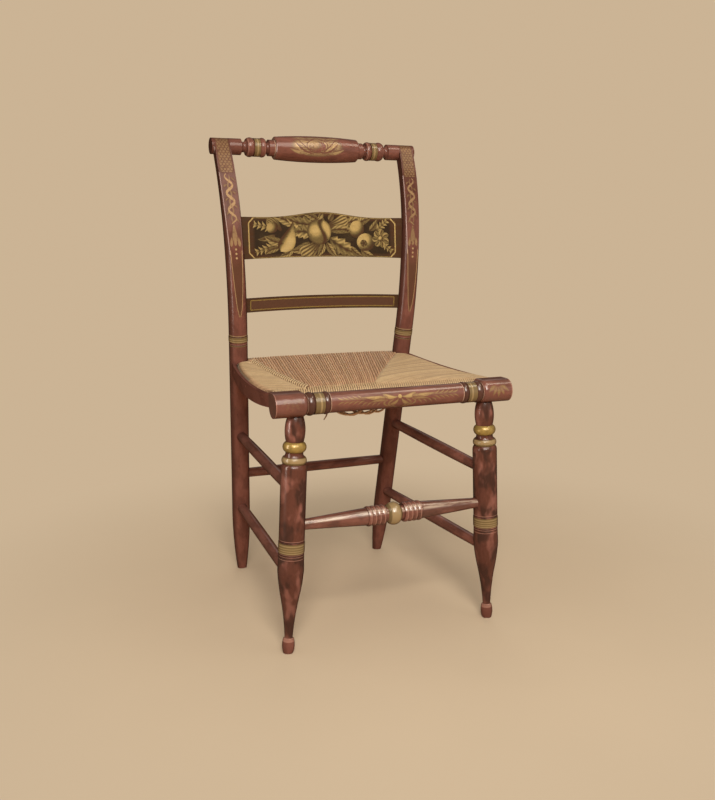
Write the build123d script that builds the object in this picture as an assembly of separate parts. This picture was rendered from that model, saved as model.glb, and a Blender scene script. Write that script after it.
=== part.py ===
from build123d import *
import os
from math import cos, degrees, hypot, radians, sin, tan

# A turned and bent fancy side chair. Millimetres and degrees.
# The chair faces -Y, left is -X, and the floor is Z = 0.

# ---- Driving dimensions: the whole chair ----
overall_depth = 445.0          # front of the seat roll to the back of the rear feet
crest_height = 837.5           # crest rail's axis above the floor
joint_gap = 0.1                # glue gap round a tenon in its socket
soft_gap = 0.3                 # rush clear of the wood it lies against

# ---- Seat roll: one turning with a block at each end ----
roll_length = 422.0
roll_height = 39.0             # height of the end blocks
roll_underside = 395.5         # underside of the end blocks above the floor
block_depth = 39.5
block_length = 54.0
block_corner_radius = 7.0      # rounded top corner at each block's inner end
roll_middle_radius = 16.8
roll_outer_ring_width = 12.5
roll_outer_ring_radius = 18.9
roll_band_width = 15.5
roll_band_radius = 17.6
roll_inner_ring_width = 10.0
roll_inner_ring_radius = 18.4
roll_neck_radius = 16.0        # bottom of the nicks between the rings

# ---- Front legs ----
leg_inset = 40.0               # roll's end to the leg axis under the roll
leg_splay = 2.5                # outward lean of the legs going down
leg_setback = 26.5             # leg axis behind the roll's front
leg_tenon_radius = 9.5
leg_tenon_length = 20.0
foot_sole_radius = 8.3
foot_ball_height = 24.5
foot_ball_radius = 10.5
foot_ball_top_radius = 9.0
ankle_height = 1.5             # rounded shoulder between the ball and the ankle
ankle_radius = 6.7
leg_calf_height = 69.0         # hollow taper above the ankle
leg_calf_low_radius = 9.8      # halfway up it
leg_calf_radius = 15.3         # at its top
leg_swell_height = 48.0        # round from the calf to the fullest part
leg_swell_middle_radius = 19.4
leg_full_radius = 21.8         # fullest part, below the gilt band
leg_collar_height = 23.5       # plain, up to the scribed lines
leg_shaft_radius = 21.1
leg_band_height = 16.5
leg_band_radius = 21.7
leg_line_depth = 0.9           # scribed lines beside the gilt band
leg_line_width = 1.8
leg_line_spacing = 1.8
leg_shoulder_height = 6.5      # rounded top of the shaft
leg_lower_ring_height = 11.5
leg_lower_ring_radius = 20.3
leg_shoulder_radius = 18.0
leg_cove_height = 7.7
leg_cove_foot_radius = 16.5
leg_cove_radius = 14.4
leg_upper_ring_height = 16.5
leg_upper_ring_radius = 19.2
leg_vase_height = 41.0
leg_vase_foot_radius = 14.2
leg_vase_radius = 16.5
leg_vase_top_radius = 12.8

# ---- Rear posts ----
rear_foot_spread = 304.0       # between the post axes on the floor
post_splay = 2.39              # outward lean, both posts
post_rake = 9.6                # forward lean of the straight lower part
post_radius = 17.6
post_sole_radius = 9.3
post_foot_height = 146.0       # height of the tapered foot
post_foot_mid_radius = 14.4    # at a third of its height
post_straight_length = 501.0   # foot to the start of the bend
post_band_height = 487.0       # lower edge of the gilt band, along the post
post_band_width = 10.0
post_band_proud = 0.5
post_line_depth = 0.6
post_line_width = 1.6
post_line_spacing = 4.5
lower_bend_radius = 760.0
lower_bend_length = 172.0
upper_bend_radius = 450.0
flat_start = 27.0              # start of the bend to the tip of the shaved flat
flat_depth = 9.2               # wood shaved off the front, at the scroll
flat_fullness = 1.1            # above 1 keeps the flat's tip narrow
back_start = 190.0             # start of the bend to the start of the thinned back
post_top_thickness = 18.5      # front to back just under the scroll
cheek_top_width = 29.0         # side to side just under the scroll
scroll_radius = 14.8
scroll_overhang = 4.0          # scroll's outer end beyond the post's cheek

# ---- Crest rail ----
crest_tenon_radius = 6.5
crest_tenon_length = 18.0
crest_end_radius = 15.0
crest_cove_width = 10.5
crest_cove_radius = 9.6
crest_outer_ring_width = 14.0
crest_ring_radius = 18.0
crest_band_width = 11.5
crest_band_radius = 17.0
crest_inner_ring_width = 11.0
crest_neck_width = 6.5
crest_step_width = 11.5
crest_step_radius = 15.2
pillow_length = 168.0
pillow_end_radius = 21.2
pillow_middle_radius = 24.6
pillow_rim = 1.5               # small bevel round each end of the pillow

# ---- Slats ----
slat_setback = 1.5             # post's centre line to the slats' front face
slat_tenon_length = 11.0
wide_slat_height = 670.0       # middle of the wide slat above the floor
wide_slat_width = 78.5
wide_slat_thickness = 8.0
wide_slat_bow = 12.0
wide_slat_peak = 11.0          # rise of the top edge in the middle
wide_slat_arch = 5.0           # rise of the lower edge in the middle
wide_slat_flat = 34.0          # level stretch of the top edge at each end
narrow_slat_height = 544.5
narrow_slat_width = 26.0
narrow_slat_thickness = 7.0
narrow_slat_bow = 9.0
narrow_slat_arch = 2.5

# ---- Stretchers ----
stretcher_socket_depth = 16.0
stretcher_end_radius = 9.3
stretcher_end_length = 24.0    # plain round end, socket and all
side_stretcher_radius = 10.2
upper_stretcher_rear_height = 291.0
upper_stretcher_front_height = 274.0
lower_stretcher_rear_height = 139.0
lower_stretcher_front_height = 132.0
rear_stretcher_height = 209.5
rear_stretcher_radius = 9.9
front_stretcher_height = 216.0
front_bead_width = 24.5
front_bead_radius = 19.5
front_neck_width = 4.5
front_neck_radius = 12.6
front_rings_width = 33.0
front_rings_radius = 17.0
front_ring_count = 4
front_ring_nick = 1.3
front_taper_radius = 15.0      # thick end of the taper, beside the rings

# ---- Seat rails, rush and facings ----
seat_rail_radius = 8.0
seat_tenon_radius = 6.0
seat_tenon_depth = 10.0
rail_tenon_radius = 5.0        # front rail in the side rails
rail_tenon_depth = 6.0
rush_thickness = 4.5           # rush outside the rails
side_rail_rear_height = 431.5
side_rail_front_height = 422.0
side_rail_sag = 8.0            # dip of the side rails halfway
side_rail_bulge = 8.0          # outward bow of the side rails halfway
side_rail_front_inset = 21.8   # roll's end to the side rail's axis
side_rail_rear_inset = 4.0     # side rail's rear end inward of the post's axis
rear_rail_rise = 2.0           # rear rail above the side rails' rear ends
rush_crown = 12.0              # seat's middle above the level of its sides
rush_belly = 7.0               # underside's middle below the level of its sides
rush_edge_crown = 1.2          # the same at the front and rear edges
rush_rear_inset = 12.0         # rear corners tucked in behind the posts
facing_thickness = 5.5
facing_rise = 8.5              # top edge above the rail's axis
facing_drop_rear = 14.0
facing_drop_middle = 17.5
facing_drop_front = 12.0

# ---- Fasteners ----
brad_count = 3                 # brads in each facing
brad_radius = 0.9
brad_head_radius = 2.0
brad_head_height = 1.0
brad_length = 19.0
brad_end_margin = 45.0         # first and last brad to the facing's ends
slat_peg_radius = 2.5
crest_peg_radius = 2.0
crest_peg_length = 20.0

# ---- Worked out from the driving dimensions ----
far = 2000.0                   # larger than the chair, for cutting tools
roll_front = -overall_depth / 2
roll_radius = roll_height / 2
roll_y = roll_front + roll_radius
roll_z = roll_underside + roll_radius
block_back = roll_front + block_depth
leg_y = roll_front + leg_setback
front_top_x = roll_length / 2 - leg_inset
front_foot_x = front_top_x + roll_underside * tan(radians(leg_splay))
rear_foot_x = rear_foot_spread / 2
rear_foot_y = overall_depth / 2 - post_sole_radius
rear_rail_height = side_rail_rear_height + rear_rail_rise
rake = radians(post_rake)
splay = radians(post_splay)


# ---- Turning: a half profile drawn from the bottom up, revolved about +Z ----
class Turning:
    """Edges of a half profile in the XZ plane, with X as the radius."""

    def __init__(self, radius, height=0.0):
        self.start = (radius, height)
        self.radius = radius
        self.height = height
        self.edges = []

    def _point(self, radius, height):
        return Vector(radius, 0, height)

    def taper(self, radius, length):
        """Straight line to another radius."""
        end = self._point(radius, self.height + length)
        self.edges.append(Line(self._point(self.radius, self.height), end))
        self.radius = radius
        self.height += length
        return self

    def step(self, radius):
        """Square shoulder to another radius."""
        return self if abs(radius - self.radius) < 1e-6 else self.taper(radius, 0.0)

    def swell(self, radius, length, middle_radius, share=0.5):
        """Arc to another radius, through a radius at a share of its length."""
        middle = self._point(middle_radius, self.height + share * length)
        end = self._point(radius, self.height + length)
        self.edges.append(ThreePointArc(self._point(self.radius, self.height), middle, end))
        self.radius = radius
        self.height += length
        return self

    def bead(self, length, crown_radius, foot_radius=None):
        """Half-round ring that stands on foot_radius and reaches crown_radius."""
        foot = self.radius if foot_radius is None else foot_radius
        self.step(foot)
        return self.swell(foot, length, crown_radius)

    def line(self, width, depth):
        """Scribed line of V section."""
        radius = self.radius
        self.taper(radius - depth, width / 2)
        return self.taper(radius, width / 2)

    def solid(self):
        foot = self._point(0, self.start[1])
        first = self._point(*self.start)
        last = self._point(self.radius, self.height)
        top = self._point(0, self.height)
        outline = [Line(foot, first), *self.edges, Line(last, top), Line(top, foot)]
        return revolve(make_face(Wire(outline)), Axis.Z, 360)


# ---- Small helpers ----
def between(start, end, share):
    return start + (end - start) * share


def placed_along(start, end):
    """Location at start with its Z towards end."""
    return Plane(origin=start, z_dir=end - start).location


def rod(start, end, radius):
    return placed_along(start, end) * Cylinder(
        radius, (end - start).length, align=(Align.CENTER, Align.CENTER, Align.MIN))


def block(low, high):
    size = [high[i] - low[i] for i in range(3)]
    middle = [(high[i] + low[i]) / 2 for i in range(3)]
    return Pos(*middle) * Box(*size)


def mirrored(shape):
    """The left-hand twin of a right-hand piece."""
    return mirror(shape, Plane.YZ)


def cut(shape, *tools):
    for tool in tools:
        shape = shape - tool
    return shape.solid()


def joined(*shapes):
    result = shapes[0]
    for shape in shapes[1:]:
        result = result + shape
    return result.solid()


# ---- Axes of the legs and posts ----
def leg_point(height, side=1):
    """Point on a front leg's axis."""
    x = front_foot_x + (front_top_x - front_foot_x) * height / roll_underside
    return Vector(side * x, leg_y, height)


def post_line(distance):
    """Centre line of a rear post in its own plane: straight, then two tangent bends.

    Gives the offset to the rear, the height and the backward lean, at a distance along the line from the foot.
    """
    lean = -rake
    step = min(distance, post_straight_length)
    back, height = step * sin(lean), step * cos(lean)
    left = distance - step
    for length, radius in ((lower_bend_length, lower_bend_radius), (far, upper_bend_radius)):
        step = min(left, length)
        turned = lean + step / radius
        back += radius * (cos(lean) - cos(turned))
        height += radius * (sin(turned) - sin(lean))
        lean, left = turned, left - step
    return back, height, lean


def post_offset(distance, back):
    """Point of the post's plane at right angles to its centre line, back positive to the rear."""
    y, z, lean = post_line(distance)
    return Vector(0, y + back * cos(lean), z - back * sin(lean))


def post_distance(height, back=0.0):
    """Distance from the foot at which post_offset reaches a height, by halving."""
    low, high = 0.0, 2 * crest_height
    for _ in range(60):
        middle = (low + high) / 2
        if post_offset(middle, back).Z < height:
            low = middle
        else:
            high = middle
    return low


def post_place(side=1):
    """Stands the post's plane at its foot, with its splay."""
    return Location((side * rear_foot_x, rear_foot_y, 0), (0, side * post_splay, 0))


def post_point(height, side=1):
    """Point on a rear post's centre line at a height above the floor."""
    local = height / cos(splay)
    back = post_line(post_distance(local))[0]
    return Vector(side * (rear_foot_x + local * sin(splay)), rear_foot_y + back, height)


# The scroll's front meets the shaved face in a tangent, so its centre lies this far behind the centre line.
scroll_back = scroll_radius - post_radius + flat_depth
scroll_distance = post_distance(crest_height / cos(splay), scroll_back)
scroll_centre = (post_place() * Pos(*post_offset(scroll_distance, scroll_back))).position
crest_y = scroll_centre.Y
crest_half_span = scroll_centre.X - cheek_top_width / 2
crest_centre = Vector(0, crest_y, crest_height)
crest_shoulder = Vector(crest_half_span, crest_y, crest_height)


def post_rod(extra, side=1):
    """The straight part of a rear post as a plain cylinder, larger by extra, for fitting the seat to it."""
    foot = post_place(side) * Pos(*post_offset(0, 0))
    bend = post_place(side) * Pos(*post_offset(post_straight_length, 0))
    return rod(foot.position, bend.position, post_radius + extra)


# ---- Stretchers ----
def socketed(start, end, start_radius, end_radius):
    """Ends of a rail that runs between two axes, each tip at its socket's depth below the surface."""
    along = (end - start).normalized()
    return (start + along * (start_radius - stretcher_socket_depth),
            end - along * (end_radius - stretcher_socket_depth))


def socket(tip, other, radius):
    """Drilled socket for a round end, from just past the tip towards the other end."""
    along = (other - tip).normalized()
    return rod(tip - along * joint_gap, tip + along * 3 * stretcher_socket_depth, radius + joint_gap)


def plain_stretcher(tips, radius):
    """Round stretcher, a little fuller in the middle than at its plain ends."""
    start, end = tips
    span = (end - start).length
    turning = Turning(stretcher_end_radius)
    turning.taper(stretcher_end_radius, stretcher_end_length)
    turning.swell(stretcher_end_radius, span - 2 * stretcher_end_length, radius)
    turning.taper(stretcher_end_radius, stretcher_end_length)
    return placed_along(start, end) * turning.solid()


upper_side_tips = socketed(post_point(upper_stretcher_rear_height), leg_point(upper_stretcher_front_height),
                           post_radius, leg_shaft_radius)
lower_side_tips = socketed(post_point(lower_stretcher_rear_height), leg_point(lower_stretcher_front_height),
                           post_radius, leg_shaft_radius)
rear_tips = socketed(post_point(rear_stretcher_height, -1), post_point(rear_stretcher_height),
                     post_radius, post_radius)
front_tips = socketed(leg_point(front_stretcher_height, -1), leg_point(front_stretcher_height),
                      leg_shaft_radius, leg_shaft_radius)


def front_stretcher():
    """Tapered ends, a group of rings each side of the middle, and one large bead."""
    half = (front_tips[1] - front_tips[0]).length / 2
    bead_half = front_bead_width / 2
    taper = half - bead_half - front_neck_width - front_rings_width - stretcher_end_length
    arm = Turning(front_neck_radius, bead_half)
    arm.taper(front_neck_radius, front_neck_width)
    for _ in range(front_ring_count):
        arm.bead(front_rings_width / front_ring_count, front_rings_radius, front_rings_radius - front_ring_nick)
    arm.step(front_taper_radius)
    arm.taper(stretcher_end_radius, taper)
    arm.taper(stretcher_end_radius, stretcher_end_length)
    bead = Turning(front_neck_radius, -bead_half).bead(front_bead_width, front_bead_radius)
    right = Pos(0, leg_y, front_stretcher_height) * Rot(0, 90, 0) * arm.solid()
    middle = Pos(0, leg_y, front_stretcher_height) * Rot(0, 90, 0) * bead.solid()
    return joined(middle, right, mirrored(right))


# ---- Seat roll ----
def roll_block():
    """Right end block: round in front and beneath, with a square upper rear corner."""
    inner = roll_length / 2 - block_length
    round_part = rod(Vector(inner, roll_y, roll_z), Vector(roll_length / 2, roll_y, roll_z), roll_radius)
    flat_part = block((inner, roll_y, roll_z), (roll_length / 2, block_back, roll_z + roll_radius))
    shape = joined(round_part, flat_part)
    top_inner = [edge for edge in shape.edges()
                 if abs(edge.center().X - inner) < 1e-3 and abs(edge.center().Z - roll_z - roll_radius) < 1e-3]
    return fillet(top_inner, block_corner_radius).solid()


def seat_roll():
    inner = roll_length / 2 - block_length
    middle = inner - roll_outer_ring_width - roll_band_width - roll_inner_ring_width
    half = Turning(roll_middle_radius)
    half.taper(roll_middle_radius, middle)
    half.bead(roll_inner_ring_width, roll_inner_ring_radius, roll_neck_radius)
    half.step(roll_band_radius).taper(roll_band_radius, roll_band_width)
    half.bead(roll_outer_ring_width, roll_outer_ring_radius, roll_neck_radius)
    right = joined(Pos(0, roll_y, roll_z) * Rot(0, 90, 0) * half.solid(), roll_block())
    return joined(right, mirrored(right))


# ---- Front legs ----
def front_leg():
    """Right front leg, turned, cut to the floor and to the roll's underside."""
    length = hypot(front_foot_x - front_top_x, roll_underside)
    overrun = 2.0
    turning = Turning(foot_sole_radius, -overrun)
    turning.taper(foot_sole_radius, overrun)
    turning.swell(foot_ball_top_radius, foot_ball_height, foot_ball_radius)
    turning.taper(ankle_radius, ankle_height)
    turning.swell(leg_calf_radius, leg_calf_height, leg_calf_low_radius)
    turning.swell(leg_full_radius, leg_swell_height, leg_swell_middle_radius)
    turning.taper(leg_shaft_radius, leg_collar_height)
    for _ in range(2):
        turning.line(leg_line_width, leg_line_depth)
        turning.taper(leg_shaft_radius, leg_line_spacing)
    turning.step(leg_band_radius).taper(leg_band_radius, leg_band_height)
    top = (leg_shoulder_height + leg_lower_ring_height + leg_cove_height
           + leg_upper_ring_height + leg_vase_height)
    turning.step(leg_shaft_radius).taper(leg_shaft_radius, leg_line_spacing)
    turning.line(leg_line_width, leg_line_depth)
    turning.taper(leg_shaft_radius, length - top - turning.height)
    turning.swell(leg_shoulder_radius, leg_shoulder_height, between(leg_shoulder_radius, leg_shaft_radius, 0.75))
    turning.bead(leg_lower_ring_height, leg_lower_ring_radius, leg_shoulder_radius)
    turning.step(leg_cove_foot_radius).swell(leg_cove_radius, leg_cove_height, leg_cove_radius, 0.6)
    turning.bead(leg_upper_ring_height, leg_upper_ring_radius, leg_cove_radius)
    turning.step(leg_vase_foot_radius)
    turning.swell(leg_vase_top_radius, leg_vase_height, leg_vase_radius, 0.35)
    turning.taper(leg_vase_top_radius, overrun)
    place = Location((front_foot_x, leg_y, 0), (0, -leg_splay, 0))
    shape = place * turning.solid()
    shape = cut(shape, block((-far, -far, -far), (far, far, 0)),
                block((-far, -far, roll_underside), (far, far, far)))
    tenon = Pos(0, 0, length - overrun) * Cylinder(
        leg_tenon_radius, leg_tenon_length + overrun, align=(Align.CENTER, Align.CENTER, Align.MIN))
    return joined(shape, place * tenon)


def leg_socket(side=1):
    """Socket in the roll for a leg's tenon."""
    foot = leg_point(0, side)
    along = (leg_point(roll_underside, side) - foot).normalized()
    shoulder = leg_point(roll_underside, side)
    return rod(shoulder - along * leg_tenon_length, shoulder + along * (leg_tenon_length + joint_gap),
               leg_tenon_radius + joint_gap)


# ---- Rear posts ----
def post_turning():
    """Lower part of a rear post, straight and turned, up to the bend."""
    overrun = 4.0
    turning = Turning(post_sole_radius, -overrun)
    turning.taper(post_sole_radius, overrun)
    turning.swell(post_radius, post_foot_height, post_foot_mid_radius, 1 / 3)
    turning.taper(post_radius, post_band_height - post_line_spacing - post_line_width - turning.height)
    turning.line(post_line_width, post_line_depth)
    turning.taper(post_radius, post_line_spacing)
    turning.step(post_radius + post_band_proud).taper(post_radius + post_band_proud, post_band_width)
    turning.step(post_radius).line(post_line_width, post_line_depth)
    turning.taper(post_radius, post_straight_length - turning.height)
    return Rot(post_rake, 0, 0) * turning.solid()


def post_bend():
    """Round bent part of a rear post, from the turned part to the scroll's centre."""
    start = post_straight_length
    middle = start + lower_bend_length
    arcs = []
    for low, high in ((start, middle), (middle, scroll_distance)):
        arcs.append(ThreePointArc(post_offset(low, 0), post_offset((low + high) / 2, 0), post_offset(high, 0)))
    lean = post_line(start)[2]
    place = Plane(origin=post_offset(start, 0), x_dir=(0, -cos(lean), sin(lean)), z_dir=(0, sin(lean), cos(lean)))
    return sweep(place * Circle(post_radius), path=Wire(arcs)).solid()


def shaving(start, depth, fullness, side):
    """Tool that shaves the bend from a start along it to the scroll. Side -1 is the front, 1 the back."""
    low, high = post_straight_length + start, scroll_distance
    shares = [-0.08, 0.08, 0.25, 0.45, 0.7, 1.0]
    points = []
    for share in shares:
        taken = depth * sin(radians(90) * abs(share)) ** fullness
        taken = -taken if share < 0 else taken
        points.append(post_offset(low + (high - low) * share, side * (post_radius - taken)))
    clear = Vector(0, side * far, 0)
    over = post_offset(high + post_radius, side * (post_radius - depth))
    outline = [Spline(*points), Line(points[-1], over), Line(over, over + clear),
               Line(over + clear, points[0] + clear), Line(points[0] + clear, points[0])]
    return Pos(-far / 2, 0, 0) * extrude(make_face(Wire(outline)), far, dir=(1, 0, 0))


def cheek(side):
    """Tool that flattens a side of the bend a little towards the scroll."""
    low = post_offset(post_straight_length + back_start, 0).Z
    high = post_offset(scroll_distance, 0).Z
    points = [(side * (post_radius + joint_gap), low), (side * cheek_top_width / 2, high),
              (side * cheek_top_width / 2, high + far), (side * far, high + far), (side * far, low)]
    return Pos(0, far, 0) * extrude(Plane.XZ * make_face(Polyline(*points, close=True)), 2 * far)


def post_blank():
    """Right rear post before its mortises are cut."""
    back_taken = 2 * post_radius - flat_depth - post_top_thickness
    bend = cut(post_bend(), shaving(flat_start, flat_depth, flat_fullness, -1),
               shaving(back_start, back_taken, 2.0, 1), cheek(-1), cheek(1))
    post = post_place() * joined(post_turning(), bend)
    scroll_end = crest_shoulder + Vector(cheek_top_width + scroll_overhang, 0, 0)
    scroll = rod(crest_shoulder, scroll_end, scroll_radius)
    return cut(joined(post, scroll), block((-far, -far, -far), (far, far, 0)))


# ---- Crest rail ----
def crest_rail():
    """Turned rail: pillow, then step, cove, rings, gilt band and plain end on each side, with round tenons."""
    arm = Turning(crest_step_radius, pillow_length / 2)
    arm.taper(crest_step_radius, crest_step_width)
    arm.swell(crest_step_radius, crest_neck_width, crest_cove_radius)
    arm.bead(crest_inner_ring_width, crest_ring_radius, crest_step_radius)
    arm.step(crest_band_radius).taper(crest_band_radius, crest_band_width)
    arm.bead(crest_outer_ring_width, crest_ring_radius, crest_step_radius)
    arm.swell(crest_end_radius, crest_cove_width, crest_cove_radius, 0.4)
    arm.taper(crest_end_radius, crest_half_span - arm.height)
    arm.step(crest_tenon_radius).taper(crest_tenon_radius, crest_tenon_length)
    rim_radius = pillow_end_radius - pillow_rim
    pillow = Turning(rim_radius, -pillow_length / 2)
    pillow.taper(pillow_end_radius, pillow_rim)
    pillow.swell(pillow_end_radius, pillow_length - 2 * pillow_rim, pillow_middle_radius)
    pillow.taper(rim_radius, pillow_rim)
    place = Pos(0, crest_y, crest_height) * Rot(0, 90, 0)
    right = place * arm.solid()
    return joined(place * pillow.solid(), right, mirrored(right))


# ---- Slats ----
def slat_place(height):
    """Frame of a slat: origin on the middle of its front face at the posts, leaning as they do."""
    distance = post_distance(height / cos(splay))
    lean = post_line(distance)[2]
    centre = post_point(height)
    return Location((0, centre.Y + slat_setback, height), (-degrees(lean), 0, 0))


def slat_half_length(height):
    return post_point(height).X - post_radius + slat_tenon_length


def slat(height, width, thickness, bow, arch, peak=0.0, level=0.0, grow=0.0):
    """Bowed slat: a bent board cut to its front outline. Grow enlarges it all round, for its mortises."""
    half = slat_half_length(height) + grow
    front = ThreePointArc((-half, -grow, 0), (0, bow - grow, 0), (half, -grow, 0))
    back = ThreePointArc((half, thickness + grow, 0), (0, bow + thickness + grow, 0), (-half, thickness + grow, 0))
    plan = Wire([front, Line(front @ 1, back @ 0), back, Line(back @ 1, front @ 0)])
    board = Pos(0, 0, -width) * extrude(make_face(plan), 2 * width)
    low, high = -width / 2 - grow, width / 2 + grow
    lower = ThreePointArc((half, 0, low), (0, 0, low + arch), (-half, 0, low))
    if peak:
        bend = half - slat_tenon_length - level
        rise = Spline((-bend, 0, high), (-bend / 2, 0, high + 0.36 * peak), (0, 0, high + peak),
                      (bend / 2, 0, high + 0.36 * peak), (bend, 0, high),
                      tangents=((1, 0, 0), (1, 0, 0)))
        upper = [Line((-half, 0, high), (-bend, 0, high)), rise, Line((bend, 0, high), (half, 0, high))]
    else:
        upper = [ThreePointArc((-half, 0, high), (0, 0, high + arch), (half, 0, high))]
    outline = Wire([Line(lower @ 1, (-half, 0, high)), *upper, Line((half, 0, high), lower @ 0), lower])
    return slat_place(height) * (board & (Pos(0, far / 2, 0) * extrude(make_face(outline), far, dir=(0, -1, 0)))).solid()


def wide_slat(grow=0.0):
    return slat(wide_slat_height, wide_slat_width, wide_slat_thickness, wide_slat_bow, wide_slat_arch,
                wide_slat_peak, wide_slat_flat, grow)


def narrow_slat(grow=0.0):
    return slat(narrow_slat_height, narrow_slat_width, narrow_slat_thickness, narrow_slat_bow, narrow_slat_arch,
                grow=grow)


def slat_peg(extra=0.0):
    """Peg from the back of the right post through the wide slat's tenon, longer than the post is deep."""
    x = slat_half_length(wide_slat_height) - slat_tenon_length / 2
    depth = post_radius - slat_setback
    start = slat_place(wide_slat_height) * Pos(x, -slat_peg_radius, 0)
    end = slat_place(wide_slat_height) * Pos(x, depth, 0)
    return rod(start.position, end.position, slat_peg_radius + extra)


def crest_peg(extra=0.0):
    """Peg from the back of the right scroll through the crest rail's tenon."""
    x = crest_half_span + crest_tenon_length / 2
    start = Vector(x, crest_y + scroll_radius - crest_peg_length, crest_height)
    end = Vector(x, crest_y + scroll_radius, crest_height)
    return rod(start, end, crest_peg_radius + extra)


# ---- Seat rails ----
rail_rear = post_point(side_rail_rear_height) - Vector(side_rail_rear_inset, 0, 0)
rail_front = Vector(roll_length / 2 - side_rail_front_inset, block_back - seat_tenon_depth, side_rail_front_height)
rail_middle = (rail_rear + rail_front) / 2 + Vector(side_rail_bulge, 0, -side_rail_sag)
side_rail_arc = ThreePointArc(rail_rear, rail_middle, rail_front)
rush_radius = seat_rail_radius + rush_thickness
front_rail_y = block_back + soft_gap + rush_radius


def side_rail_at(y):
    """Point on the right side rail's axis at a distance back, by halving."""
    low, high = 0.0, 1.0
    for _ in range(50):
        middle = (low + high) / 2
        if (side_rail_arc @ middle).Y > y:
            low = middle
        else:
            high = middle
    return side_rail_arc @ low


def bent_rod(start_share, radius):
    """Round rod bent along the side rail's axis, from a share of its length to its front end."""
    path = ThreePointArc(side_rail_arc @ start_share, side_rail_arc @ ((1 + start_share) / 2), side_rail_arc @ 1)
    section = Plane(origin=path @ 0, z_dir=path % 0) * Circle(radius)
    return sweep(section, path=path).solid()


def side_rail():
    """Right side rail: bent round rod with a round tenon at each end."""
    tip_share = (post_radius - seat_tenon_depth) / side_rail_arc.length
    body = cut(bent_rod(tip_share, seat_rail_radius), post_rod(2 * joint_gap),
               block((-far, -far, -far), (far, block_back + joint_gap, far)))
    return joined(body, bent_rod(tip_share, seat_tenon_radius))


def straight_rail(ends, body_trim, tenon_radius):
    """Straight round rail between two tips, its thick part held back by the trimming tools."""
    start, end = ends
    body = cut(rod(start, end, seat_rail_radius), *body_trim)
    return joined(body, rod(start, end, tenon_radius))


def rear_rail_ends():
    reach = post_radius - seat_tenon_depth
    left, right = post_point(rear_rail_height, -1), post_point(rear_rail_height)
    return left + Vector(reach, 0, 0), right - Vector(reach, 0, 0)


def front_rail_ends():
    centre = side_rail_at(front_rail_y)
    reach = seat_rail_radius - rail_tenon_depth
    return Vector(reach - centre.X, centre.Y, centre.Z), Vector(centre.X - reach, centre.Y, centre.Z)


def rail_socket(tip, other, radius):
    along = (other - tip).normalized()
    return rod(tip - along * joint_gap, tip + along * 3 * seat_tenon_depth, radius + joint_gap)


# ---- Rush seat ----
def rush_section(y, half_width, rail_height, top, bottom):
    """Seat's cross-section: round over each side rail, crowned above and bellied below."""
    x = half_width - rush_radius
    top_edge = Spline((-x, y, rail_height + rush_radius), (0, y, top), (x, y, rail_height + rush_radius))
    right = ThreePointArc(top_edge @ 1, (half_width, y, rail_height), (x, y, rail_height - rush_radius))
    bottom_edge = Spline(right @ 1, (0, y, bottom), (-x, y, rail_height - rush_radius))
    left = ThreePointArc(bottom_edge @ 1, (-half_width, y, rail_height), top_edge @ 0)
    return make_face(Wire([top_edge, right, bottom_edge, left]))


def rush_seat():
    """Woven seat as one soft body over its rails, clear of the wood round it."""
    rear_rail_y = post_point(rear_rail_height).Y
    rear_y = rear_rail_y + rush_radius
    front_y = front_rail_y - rush_radius
    front_height = side_rail_at(front_rail_y).Z
    sections = []
    for share in (0.0, 0.3, 0.6, 0.85, 1.0):
        y = front_y + (rear_y - front_y) * share
        rail = side_rail_at(min(max(y, front_rail_y), rail_rear.Y))
        inset = rush_rear_inset if share == 1.0 else 0.0
        swell = sin(radians(180) * share)
        level = front_height + (rear_rail_height - front_height) * share
        top = level + rush_radius + rush_edge_crown
        top = top + (rail.Z + rush_radius + rush_crown - top) * swell
        bottom = rail.Z - rush_radius - rush_edge_crown - (rush_belly - rush_edge_crown) * swell
        sections.append(rush_section(y, rail.X + rush_radius - inset, rail.Z, top, bottom))
    body = loft(sections)
    rear = Vector(0, rear_rail_y, rear_rail_height)
    front = Vector(0, front_rail_y, front_height)
    up = Vector(0, 0, rush_radius)
    over = (rear + front) / 2 + Vector(0, 0, rush_radius + rush_crown)
    under = (rear + front) / 2 - Vector(0, 0, rush_radius + side_rail_sag + rush_belly)
    side_view = Wire([ThreePointArc(front + up, over, rear + up),
                      ThreePointArc(rear + up, rear + Vector(0, rush_radius, 0), rear - up),
                      ThreePointArc(rear - up, under, front - up),
                      ThreePointArc(front - up, front - Vector(0, rush_radius, 0), front + up)])
    body = (body & (Pos(-far / 2, 0, 0) * extrude(make_face(side_view), far, dir=(1, 0, 0)))).solid()
    channel = seat_rail_radius + soft_gap
    rails = [bent_rod(0.0, channel), mirrored(bent_rod(0.0, channel)),
             rod(*rear_rail_ends(), channel), rod(*front_rail_ends(), channel)]
    boards = [facing(soft_gap), mirrored(facing(soft_gap))]
    return cut(body, *rails, *boards, post_rod(soft_gap), post_rod(soft_gap, -1))


# ---- Facings ----
def facing_outer(y):
    return side_rail_at(y).X + rush_radius + soft_gap + facing_thickness


facing_rear_y = rail_rear.Y - post_radius / 3


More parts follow.
